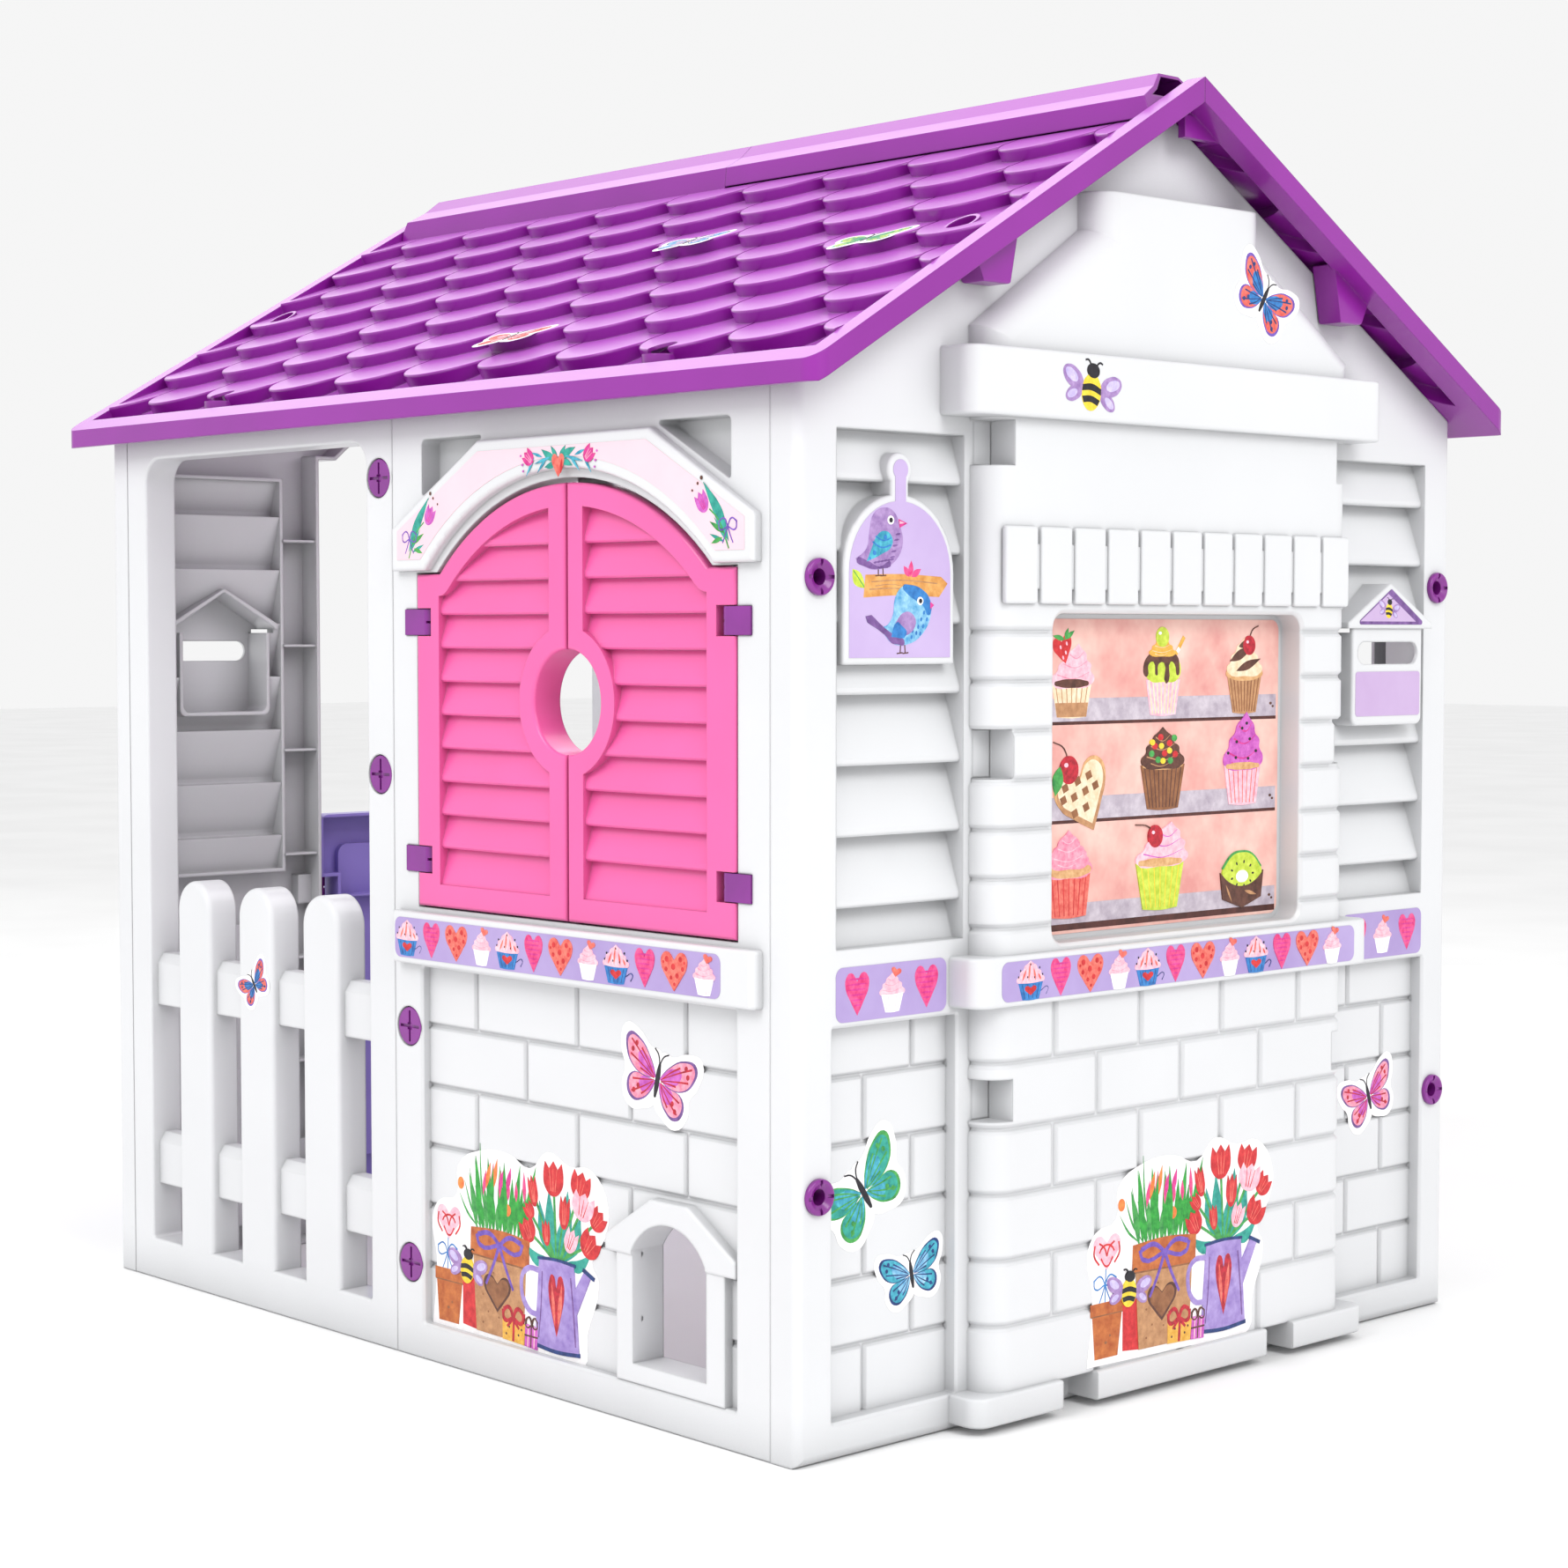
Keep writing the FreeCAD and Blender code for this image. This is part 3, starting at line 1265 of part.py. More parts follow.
def tile_field(inset):
    """All tiles of a slope, or the hollows under them, cut to the space inside the rim."""
    half = roof_half_length - rim_width - inset
    template = tile(inset)
    room = Part.makeBox(2 * half, 900, 80, V(-half, -900, -50))
    tiles = []
    for x, y in tile_places():
        copy = template.copy()
        copy.translate(V(x, y, 0))
        if abs(x) + tile_pitch / 2 > half:
            copy = copy.common(room)
        tiles.append(copy)
    return tiles


def gable_wells(wall, bottom):
    """Sunk seats of the screws into the gables, square to the slope."""
    radius = screw_well_radius + wall
    places = [V(side * (half_length - gable_depth / 2), -gable_screw_slope, bottom) for side in (-1, 1)]
    height = -bottom - 2.0 if wall else 40.0
    return [Part.makeCylinder(radius, height, place, V(0, 0, 1)) for place in places]


def flat_slope():
    """Rim, field and tiles of one slope, still flat."""
    length = slope_to_rim() + 60
    sheet = Part.makeBox(2 * roof_half_length, length, roof_skin,
                         V(-roof_half_length, -length, field_top - roof_skin))
    rim = Part.makeBox(2 * roof_half_length, length, rim_depth, V(-roof_half_length, -length, -rim_depth))
    rim = rim.cut(Part.makeBox(2 * (roof_half_length - rim_width), slope_to_rim() + 1, rim_depth,
                               V(-roof_half_length + rim_width, -slope_to_rim(), -rim_depth)))
    slope = sheet.multiFuse([rim] + tile_field(0))
    slope = slope.cut(tile_field(roof_skin))
    slope = slope.multiFuse(gable_wells(screw_well_wall, -rim_depth))
    bores = [Part.makeCylinder(roof_screw_radius + hole_clearance, 30,
                               V(well.CenterOfMass.x, -gable_screw_slope, -25))
             for well in gable_wells(0, 0)]
    return slope.cut(gable_wells(0, -rim_depth + well_floor) + bores)


def eave_well_places():
    return [(side * eave_screw_spacing / 2, -(half_depth - 16.0)) for side in (-1, 1)]


def roof_outline():
    """Plan of the whole roof, with rounded corners."""
    plan = Part.makeBox(2 * roof_half_length, 2 * roof_half_depth, ridge_height + 100,
                        V(-roof_half_length, -roof_half_depth, 0))
    return soften_uprights(plan, roof_corner)


def soften_uprights(plan, radius):
    edges = [edge for edge in plan.Edges if abs(edge.Vertexes[0].Z - edge.Vertexes[-1].Z) > 1]
    return plan.makeFillet(radius, edges)


def cap_profile(inset):
    """Section of the ridge cap, y across and z up from the ridge."""
    foot = -cap_half_width * rise - cap_leg
    crease = cap_rise - (cap_crease - cap_flat) * 0.92
    shoulder = crease - (cap_half_width - 3 - cap_crease) * rise
    half = [
        (cap_flat - inset * 0.3, cap_rise - inset),
        (cap_crease - inset * 0.7, crease - inset),
        (cap_half_width - 3 - inset, shoulder - inset),
        (cap_half_width - inset, foot - (4 if inset else 0)),
    ]
    return half


def cap_half(side, length, inset):
    """Half a cap section, from the ridge plane to one side, as a bar along x that ends at x = 0."""
    section = cap_profile(inset)
    points = [(0, section[0][1])] + section + [(0, section[-1][1])]
    points = [V(-length, side * y, ridge_height + z) for y, z in points]
    return Part.Face(Part.makePolygon(points + [points[0]])).extrude(V(length, 0, 0))


def ridge_cap():
    """Cap over one half of the ridge. It is moulded with the front slope and laps over the back one."""
    length = roof_half_length - cap_end_gap
    cap = cap_half(-1, length, 0).fuse(cap_half(1, length, 0))
    inner = length - 2 * roof_skin
    hollow = cap_half(-1, inner, roof_skin).fuse(cap_half(1, inner, roof_skin))
    hollow.translate(V(1, 0, 0))
    top = ridge_height + cap_rise + 1
    bevel = [V(-length - 1, -90, top), V(-length + cap_bevel, -90, top),
             V(-length - 1, -90, top - 2 * cap_bevel)]
    bevel = Part.Face(Part.makePolygon(bevel + [bevel[0]])).extrude(V(0, 180, 0))
    cap = cap.cut([hollow, bevel])
    lap = Part.makeBox(2 * roof_half_length, 90, 200, V(-roof_half_length, 0, ridge_height - 150))
    room = tilt(Part.makeBox(2 * roof_half_length, 120, 60, V(-roof_half_length, -120, -60 + cap_lap_height)))
    seam = Part.makeBox(10, 200, 200, V(-seam_gap / 2, -100, ridge_height - 100))
    return cap.cut(half_turn(room).common(lap)).cut(seam)


def hook(side):
    """Tapered hook that hangs outside a gable wall and keeps the roof from sliding."""
    x = sorted((side * (half_length + 1.5), side * (half_length + 24)))
    y = -gable_screw_slope * math.cos(pitch)
    top = ridge_height + y * rise - rim_drop + 4
    profile = [V(x[0], y - 24, top - 24 * rise), V(x[0], y + 24, top + 24 * rise),
               V(x[0], y + 14, top - hook_length),
               V(x[0], y - 14, top - hook_length)]
    solid = Part.Face(Part.makePolygon(profile + [profile[0]])).extrude(V(x[1] - x[0], 0, 0))
    return soften(solid, 2.0, lambda v: v.Z < top - hook_length + 1)


def roof_half():
    """Front slope with its half of the ridge cap. The back one is the same moulding turned round."""
    slope = tilt(flat_slope())
    slope = slope.common(roof_outline())
    behind = Part.makeBox(2 * roof_half_length, 600, 900,
                          V(-roof_half_length, -seam_gap / 2, ridge_height - 500))
    below = Part.makeBox(2 * roof_half_length, 60, 200,
                         V(-roof_half_length, -roof_half_depth - 1, eave_top() - eave_drop - 200))
    slope = slope.cut([behind, below])
    wells = [Part.makeCylinder(screw_well_radius + screw_well_wall, 24,
                               V(x, y, wall_height + seat_gap), V(0, 0, 1))
             for x, y in eave_well_places()]
    slope = slope.multiFuse(wells + [hook(-1), hook(1), ridge_cap()])
    floor = wall_height + seat_gap + well_floor
    cuts = [Part.makeCylinder(screw_well_radius, 60, V(x, y, floor), V(0, 0, 1)) for x, y in eave_well_places()]
    cuts += [Part.makeCylinder(roof_screw_radius + hole_clearance, 30, V(x, y, floor - 20), V(0, 0, 1))
             for x, y in eave_well_places()]
    return slope.cut(cuts)


def eave_top():
    return ridge_height - roof_half_depth * rise


# ================================================================= fasteners

def seam_screw(u, level):
    """Quarter-turn screw with a cross slot."""
    head = rod(u, level, seam_head_radius, (seam_pocket_depth - seam_head_thick, seam_pocket_depth))
    head = soften(head, 1.2, lambda v: v.Y < 0.41)
    arms = [box((u - 13, u + 13), (-1, 2.2), (level - 1.2, level + 1.2)),
            box((u - 1.2, u + 1.2), (-1, 2.2), (level - 13, level + 13)),
            box((u - 3, u + 3), (-1, 2.6), (level - 3, level + 3))]
    shank = rod(u, level, seam_shank_radius, (seam_pocket_depth - overlap, seam_tab_level + skin + nut_thick))
    return head.fuse(shank).cut(arms)


def seam_nut(u, level):
    """Round nut behind a seam tab."""
    start = seam_tab_level + skin
    ring = rod(u, level, nut_radius, (start, start + nut_thick))
    return ring.cut(rod(u, level, seam_shank_radius, (start - 1, start + nut_thick + 1)))


def seam_places():
    fence_u = fence_right - seam_screw_inset
    window_u = window_left + seam_screw_inset
    return [(fence_u, level) for level in fence_screw_levels] + [(window_u, level) for level in window_screw_levels]


def corner_bolt(u, level):
    """Hollow bolt with a dished ring head, through a gable and the side of the next moulding."""
    end = gable_depth + seam_gap + skin + nut_thick
    ring = soften(rod(u, level, ring_radius, (-ring_thick, 0)), 1.8, lambda v: v.Y < -1)
    solid = ring.fuse(rod(u, level, corner_shank_radius, (-overlap, end)))
    dish = Part.makeCone(ring_radius - 3, ring_hole_radius, 3.0, V(u, -ring_thick, level), V(0, 1, 0))
    arms = [box((u - 12.5, u + 12.5), (-ring_thick - 1, -ring_thick + 2), (level - 1.3, level + 1.3)),
            box((u - 1.3, u + 1.3), (-ring_thick - 1, -ring_thick + 2), (level - 12.5, level + 12.5))]
    return solid.cut([dish, rod(u, level, ring_hole_radius, (-9, end + 1))] + arms)


def corner_nut(u, level):
    start = gable_depth + seam_gap + skin
    ring = rod(u, level, corner_nut_radius, (start, start + nut_thick))
    return ring.cut(rod(u, level, corner_shank_radius, (start - 1, start + nut_thick + 1)))


def corner_places():
    return [(side * (half_depth - corner_bolt_inset), level) for side in (-1, 1) for level in corner_bolt_levels]


def pan_screw():
    """Pan-head screw, seat of the head at the origin, shank down."""
    head = Part.makeCylinder(roof_screw_head, 3.5, V(0, 0, 0), V(0, 0, 1))
    head = soften(head, 1.5, lambda v: v.Z > 3)
    slot = [Part.makeBox(9, 1.4, 2.5, V(-4.5, -0.7, 2.0)), Part.makeBox(1.4, 9, 2.5, V(-0.7, -4.5, 2.0))]
    shank = Part.makeCylinder(roof_screw_radius, well_floor + 9, V(0, 0, -well_floor - 9), V(0, 0, 1))
    return head.cut(slot).fuse(shank)


def roof_screws():
    """Four screws in each slope: two into the gables and two into the wall under the eave."""
    screws = []
    for x in (-half_length + gable_depth / 2, half_length - gable_depth / 2):
        screw = pan_screw()
        screw.translate(V(x, -gable_screw_slope, -rim_depth + well_floor))
        screws.append(tilt(screw))
    for x, y in eave_well_places():
        screw = pan_screw()
        screw.translate(V(x, y, wall_height + seat_gap + well_floor))
        screws.append(screw)
    screws += [half_turn(screw) for screw in screws]
    return Part.makeCompound(screws)


# ================================================================= labels
# Each label is a thin sheet on the face that it is stuck to.

def sheet(wire, face):
    return prism(wire, (face - label_thick, face))


def band_label(u, z, face):
    return sheet(rectangle(u, z, 7.0), face)


def sill_labels():
    left = window_middle - sill_half_width + 7
    label = band_label((left, left + 406), (sill_bottom + 5, sill_top - 5), -sill_proud)
    return Part.makeCompound([place_wall(label, side) for side in ("front", "back")])


def shelf_label():
    z = (shelf_bottom + 4, shelf_top - 4)
    return place_wall(band_label((-shelf_half_width + 24, shelf_half_width - 24), z, -shelf_proud), "chimney")


def belt_labels():
    """Short bands beside the chimney breast and beside the doorway."""
    z = (side_brick_top + 4, side_brick_top + 44)
    labels = [band_label(sorted((side * 244.0, side * 358.0)), z, 0) for side in (-1, 1)]
    return Part.makeCompound([place_wall(label, wall) for label in labels for wall in ("chimney", "doorway")])


def header_label_wire(middle, base, arc_radius, arc_height):
    """Header board outline, drawn in by a margin."""
    m = 9.0
    foot = math.sqrt((arc_radius + m) ** 2 - (base + m - arc_height) ** 2)
    half, top_half = header_half_width - m, header_top_half - m * 0.27
    points = [(-foot, base + m), (-half, base + m), (-half, base + header_shoulder - m * 0.27),
              (-top_half, base + header_height - m), (top_half, base + header_height - m),
              (half, base + header_shoulder - m * 0.27), (half, base + m), (foot, base + m)]
    points = [V(middle + u, 0, z) for u, z in points]
    edges = [Part.makeLine(a, b) for a, b in zip(points, points[1:])]
    edges.append(Part.Arc(points[-1], V(middle, 0, arc_height + arc_radius + m), points[0]).toShape())
    return Part.Wire(edges)


def header_labels():
    wire = header_label_wire(window_middle, shutter_ledge + 3, shutter_arch_radius + header_rise, arch_centre)
    label = sheet(wire, -header_proud)
    return Part.makeCompound([place_wall(label, side) for side in ("front", "back")])


def birdcage_labels():
    label = sheet(plaque_wire(5.0), plaque_face())
    return Part.makeCompound([place_wall(label, side) for side in ("chimney", "doorway")])


def mailbox_roof_labels():
    m = mailbox_centre
    wire = rounded([(m - 50, mailbox_eave + 3.5, 2), (m + 50, mailbox_eave + 3.5, 2), (m, mailbox_apex - 5, 2)])
    label = sheet(wire, -mailbox_proud - 3)
    return Part.makeCompound([place_wall(label, side) for side in ("chimney", "doorway")])


def mailbox_plate_labels():
    u = (mailbox_centre - mailbox_slot_half - 3, mailbox_centre + mailbox_slot_half + 3)
    label = sheet(rectangle(u, (mailbox_bottom + 8, mailbox_slot_level - 16), 3.0), -mailbox_proud)
    return Part.makeCompound([place_wall(label, side) for side in ("chimney", "doorway")])


def display_card():
    """Printed card on the floor of the display recess."""
    u = (-display_half_width + 4, display_half_width - 4)
    wire = rectangle(u, (display_bottom + 4, display_top - 4), 9.0)
    return place_wall(sheet(wire, -breast_proud + display_depth), "chimney")


# ================================================================= the nodes

def both(shape, sides):
    return Part.makeCompound([place_wall(shape, side) for side in sides])


def write_nodes():
    os.makedirs("parts", exist_ok=True)
    fence = fence_panel()
    window = window_panel()
    left_leaf, right_leaf = shutter(-1), shutter(1)
    left_clips, right_clips = shutter_clips(-1), shutter_clips(1)
    roof = roof_half()
    nodes = {
        "front_fence_panel": place_wall(fence, "front"),
        "back_fence_panel": place_wall(fence, "back"),
        "front_window_panel": place_wall(window, "front"),
        "back_window_panel": place_wall(window, "back"),
        "chimney_gable": place_wall(chimney_gable(), "chimney"),
        "doorway_gable": place_wall(doorway_gable(), "doorway"),
        "roof_front": roof,
        "roof_back": half_turn(roof),
        "front_left_shutter": place_wall(left_leaf, "front"),
        "front_right_shutter": place_wall(right_leaf, "front"),
        "back_left_shutter": place_wall(left_leaf, "back"),
        "back_right_shutter": place_wall(right_leaf, "back"),
        "front_left_hinge_clips": place_wall(left_clips, "front"),
        "front_right_hinge_clips": place_wall(right_clips, "front"),
        "back_left_hinge_clips": place_wall(left_clips, "back"),
        "back_right_hinge_clips": place_wall(right_clips, "back"),
        "half_door": place_wall(half_door(), "doorway"),
        "half_door_hinge_clips": place_wall(door_clips(), "doorway"),
        "seam_screws": both(Part.makeCompound([seam_screw(u, z) for u, z in seam_places()]), ("front", "back")),
        "seam_nuts": both(Part.makeCompound([seam_nut(u, z) for u, z in seam_places()]), ("front", "back")),
        "corner_bolts": both(Part.makeCompound([corner_bolt(u, z) for u, z in corner_places()]),
                             ("chimney", "doorway")),
        "corner_nuts": both(Part.makeCompound([corner_nut(u, z) for u, z in corner_places()]),
                            ("chimney", "doorway")),
        "roof_screws": roof_screws(),
        "sill_labels": sill_labels(),
        "shelf_label": shelf_label(),
        "belt_labels": belt_labels(),
        "header_labels": header_labels(),
        "birdcage_labels": birdcage_labels(),
        "mailbox_roof_labels": mailbox_roof_labels(),
        "mailbox_plate_labels": mailbox_plate_labels(),
        "display_card": display_card(),
    }
    for name, shape in nodes.items():
        shape.exportStep("parts/" + name + ".step")
        print(name, "solids", len(shape.Solids), "valid", shape.isValid(), "volume", round(shape.Volume))


write_nodes()
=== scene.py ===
import math

import bpy
from bpy.props import FloatProperty, FloatVectorProperty, PointerProperty
from mathutils import Matrix, Vector


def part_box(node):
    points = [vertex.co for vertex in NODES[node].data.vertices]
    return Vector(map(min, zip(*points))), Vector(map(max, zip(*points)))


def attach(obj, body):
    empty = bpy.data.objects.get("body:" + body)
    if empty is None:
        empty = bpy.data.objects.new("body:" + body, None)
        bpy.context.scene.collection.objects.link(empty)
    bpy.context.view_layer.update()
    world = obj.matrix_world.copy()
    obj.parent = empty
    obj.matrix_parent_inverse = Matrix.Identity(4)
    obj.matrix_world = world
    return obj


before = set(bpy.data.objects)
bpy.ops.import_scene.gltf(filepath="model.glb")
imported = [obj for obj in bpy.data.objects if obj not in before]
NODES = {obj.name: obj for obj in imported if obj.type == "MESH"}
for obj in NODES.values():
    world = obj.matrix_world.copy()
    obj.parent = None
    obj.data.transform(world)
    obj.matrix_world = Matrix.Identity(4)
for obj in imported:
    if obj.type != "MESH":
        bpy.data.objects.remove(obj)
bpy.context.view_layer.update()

bl_info = {
    "name": "Playhouse finish",
    "version": (1, 0, 0),
    "blender": (4, 5, 0),
    "location": "3D View > Sidebar > Playhouse",
    "description": "Plastics, printed films and stage for a child's playhouse",
    "category": "Object",
}

MM = 0.001
LOW, HIGH = {}, {}
for node_name in NODES:
    LOW[node_name], HIGH[node_name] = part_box(node_name)


# ================================================================= colours and materials

def linear(code):
    """sRGB hex to linear RGBA."""
    parts = [int(code[i:i + 2], 16) / 255 for i in (0, 2, 4)]
    parts = [c / 12.92 if c <= 0.04045 else ((c + 0.055) / 1.055) ** 2.4 for c in parts]
    return (*parts, 1.0)


PAINTED_SHADE_REACH = 45.0 * MM      # how far the ambient occlusion behind the painted crevice shade reaches
PAINTED_SHADE_OPENNESS = (0.30, 0.92)   # ambient occlusion at the bottom of a groove and on a free face, between which painted shade fades out
PAINTED_SHEEN_FACING = (0.55, 0.95)   # how upright a face is where the painted sheen starts and where it is full
PAINTED_SHADE_BLACK = (0.0, 0.0, 0.0, 1.0)


def add_node(tree, kind, settings=None, links=None):
    """Add a node, set its properties and unlinked sockets, and link its other sockets."""
    node = tree.nodes.new(kind)
    for key, value in (settings or {}).items():
        if isinstance(key, int) or key in node.inputs:
            node.inputs[key].default_value = value
        else:
            setattr(node, key, value)
    for key, source in (links or {}).items():
        tree.links.new(source, node.inputs[key])
    return node


def new_material(name):
    """Empty material and its node tree, or a made one and None where the name is in use already."""
    material = bpy.data.materials.get(name)
    if material:
        return material, None
    material = bpy.data.materials.new(name)
    material.use_nodes = True
    material.node_tree.nodes.clear()
    return material, material.node_tree


def grain(tree, coordinates, millimetres, detail=3.0, roughness=0.5):
    """Noise whose blotches are about this many millimetres across."""
    return add_node(tree, "ShaderNodeTexNoise",
                    {"Scale": 1.0 / (millimetres * MM), "Detail": detail, "Roughness": roughness},
                    {"Vector": coordinates})


def two_tone(tree, factor, dark, light, low=0.35, high=0.65):
    """Colour that runs from dark to light over a span of the factor."""
    ramp = add_node(tree, "ShaderNodeValToRGB", {}, {"Fac": factor})
    ramp.color_ramp.elements[0].position = low
    ramp.color_ramp.elements[1].position = high
    ramp.color_ramp.elements[0].color = dark
    ramp.color_ramp.elements[1].color = light
    return ramp.outputs["Color"]


def blend(tree, share, first, second):
    """Colour between two colours; each is a colour or a socket."""
    mixer = add_node(tree, "ShaderNodeMix", {"data_type": "RGBA"})
    for index, value in ((0, share), (6, first), (7, second)):
        if isinstance(value, bpy.types.NodeSocket):
            tree.links.new(value, mixer.inputs[index])
        else:
            mixer.inputs[index].default_value = value
    return mixer.outputs[2]


def moulded_plastic(name, colour, shade, rough, coat, edge_mm, flow_mm, painted_crevice_shade, painted_sheen=None):
    """Moulded thermoplastic. The eye sees rounded edges, faint flow marks and a satin skin that
    varies a little from place to place, because the mould was blasted and the wall cools unevenly.
    Grooves and corners are darker with painted shade from an ambient occlusion node, and where a
    painted sheen colour is given, faces turned to the sky are paler with painted sheen."""
    material, tree = new_material(name)
    if tree is None:
        return material
    place = add_node(tree, "ShaderNodeTexCoord").outputs["Object"]
    flow = grain(tree, place, flow_mm, 2.0)
    skin = grain(tree, place, 1.4, 2.0)
    gloss = add_node(tree, "ShaderNodeMapRange", {"To Min": rough - 0.05, "To Max": rough + 0.06},
                     {"Value": flow.outputs["Fac"]})
    rounded = add_node(tree, "ShaderNodeBevel", {"samples": 4, "Radius": edge_mm * MM})
    bump = add_node(tree, "ShaderNodeBump", {"Strength": 0.10, "Distance": 0.00025},
                    {"Height": skin.outputs["Fac"], "Normal": rounded.outputs["Normal"]})
    tone = two_tone(tree, flow.outputs["Fac"], shade, colour)
    # Painted sheen: faces turned up are blended towards a paler colour.
    if painted_sheen:
        facing = add_node(tree, "ShaderNodeNewGeometry").outputs["Normal"]
        upward = add_node(tree, "ShaderNodeSeparateXYZ", {}, {"Vector": facing}).outputs["Z"]
        sheen_share = add_node(tree, "ShaderNodeMapRange",
                        {"From Min": PAINTED_SHEEN_FACING[0], "From Max": PAINTED_SHEEN_FACING[1]}, {"Value": upward})
        tone = blend(tree, sheen_share.outputs["Result"], tone, painted_sheen)
    # Painted shade: the tone is darkened in grooves and corners where ambient occlusion finds them.
    shade_occlusion = add_node(tree, "ShaderNodeAmbientOcclusion", {"samples": 6, "Distance": PAINTED_SHADE_REACH})
    unshaded_share = add_node(tree, "ShaderNodeMapRange",
                          {"From Min": PAINTED_SHADE_OPENNESS[0], "From Max": PAINTED_SHADE_OPENNESS[1]},
                          {"Value": shade_occlusion.outputs["AO"]})
    painted_groove_shade = blend(tree, 1.0 - painted_crevice_shade, PAINTED_SHADE_BLACK, tone)
    tone = blend(tree, unshaded_share.outputs["Result"], painted_groove_shade, tone)
    shader = add_node(tree, "ShaderNodeBsdfPrincipled",
                      {"IOR": 1.5, "Coat Weight": coat, "Coat Roughness": 0.12},
                      {"Base Color": tone, "Roughness": gloss.outputs["Result"],
                       "Normal": bump.outputs["Normal"]})
    add_node(tree, "ShaderNodeOutputMaterial", {}, {"Surface": shader.outputs["BSDF"]})
    return material


# Printed inks: name, deep tone, light tone, blotch in millimetres.
INKS = {
    "lilac": ("A58FC6", "B5A2D4", 90.0),
    "cage_lilac": ("BFA7D6", "C9B4DE", 90.0),
    "plate_lilac": ("C2A5D0", "CBB2D8", 90.0),
    "blush": ("F4CDD8", "F6D5DE", 90.0),
    "peach": ("DD958F", "F6CFC2", 55.0),
    "board": ("A89BAA", "D2C8D2", 12.0),
    "umber": ("3E1A16", "5E302A", 10.0),
    "white": ("F3EFF0", "FFFFFF", 8.0),
    "cream": ("E8C9A0", "FBEBD0", 6.0),
    "cake": ("C98F57", "E9BE8A", 5.0),
    "tan": ("A8764F", "CE9B6E", 7.0),
    "bark": ("7A4A2C", "A06B45", 8.0),
    "chocolate": ("43231B", "6E4436", 6.0),
    "terracotta": ("A64B1E", "D07A3C", 9.0),
    "wood": ("C98338", "EDB46A", 9.0),
    "pink": ("E56F93", "F7B3C4", 5.0),
    "pale_pink": ("F0A3B8", "FBD5DF", 5.0),
    "magenta": ("C2187A", "E8479F", 5.0),
    "hot_pink": ("D6246F", "F0609A", 5.0),
    "orchid": ("B23BA6", "DB74CE", 6.0),
    "coral": ("D4453F", "F08574", 5.0),
    "red": ("B3101E", "E23A3C", 6.0),
    "cherry": ("8E0F22", "D5283B", 4.0),
    "orange": ("E2612A", "F59A4C", 5.0),
    "yellow": ("E8C21C", "F7E04A", 5.0),
    "amber": ("D99A2C", "F2C25C", 5.0),
    "lime": ("A9C21E", "DCEB5C", 7.0),
    "leaf": ("1F7A3A", "58B85A", 6.0),
    "grass": ("0E7A2C", "3BB443", 6.0),
    "teal": ("0F7F78", "3DB5A0", 7.0),
    "sea": ("127C9C", "58C3D6", 6.0),
    "sky": ("3C93C9", "A9DBF0", 7.0),
    "lavender": ("B7A6DC", "DCD2F2", 6.0),
    "blue": ("1A5FA6", "3D8FD6", 6.0),
    "navy": ("12285A", "2B4A8C", 6.0),
    "plum": ("5C3A78", "8A63A6", 6.0),
    "violet": ("5B3A9E", "8465C6", 6.0),
    "mauve": ("8D6AA8", "B899CC", 6.0),
    "can": ("8C72BC", "B7A3DC", 12.0),
    "black": ("0C0A10", "26222C", 4.0),
}


def ink(name):
    """Screen-printed ink under a clear film. The pigment pools, so each tone is blotchy like
    watercolour, and the film over it gives a smooth, low gloss."""
    deep, light, blotch = INKS[name]
    material, tree = new_material("printed_ink_" + name)
    if tree is None:
        return material
    place = add_node(tree, "ShaderNodeTexCoord").outputs["Object"]
    wash = grain(tree, place, blotch, 4.0, 0.62)
    shader = add_node(tree, "ShaderNodeBsdfPrincipled", {"IOR": 1.46, "Roughness": 0.42},
                      {"Base Color": two_tone(tree, wash.outputs["Fac"], linear(deep), linear(light), 0.30,
                                              0.70)})
    add_node(tree, "ShaderNodeOutputMaterial", {}, {"Surface": shader.outputs["BSDF"]})
    return material


def finish(node, material):
    """Give a CAD node one material."""
    mesh = NODES[node].data
    mesh.materials.clear()
    mesh.materials.append(material)


# ================================================================= outlines, in millimetres
# An outline is a list of (x, y) points joined by a smooth line; (x, y, 1) is a sharp corner.

def turned(loop, x=0.0, y=0.0, angle=0.0, scale=1.0, flip=False):
    """Outline scaled, mirrored, turned by degrees and moved."""
    a = math.radians(angle)
    moved = []
    for point in loop:
        px, py = point[0] * scale * (-1 if flip else 1), point[1] * scale
        moved.append((x + px * math.cos(a) - py * math.sin(a), y + px * math.sin(a) + py * math.cos(a),
                      *point[2:]))
    return moved


def oval(x, y, rx, ry, angle=0.0):
    """Ellipse of eight points."""
    count = 8
    ring = [(rx * math.cos(2 * math.pi * i / count), ry * math.sin(2 * math.pi * i / count))
            for i in range(count)]
    return turned(ring, x, y, angle)


def sharp(*points):
    """Polygon."""
    return [(x, y, 1) for x, y in points]


def heart(x, y, w, h, angle=0.0):
    """Heart in a box w wide and h high."""
    half = [(0, -h / 2, 1), (w * 0.27, -h * 0.16), (w * 0.46, h * 0.14), (w * 0.44, h * 0.38),
            (w * 0.24, h * 0.49),
            (0, h * 0.28, 1)]
    other = [(-p[0], p[1]) for p in half[-2:0:-1]]
    return turned(half + other, x, y, angle)


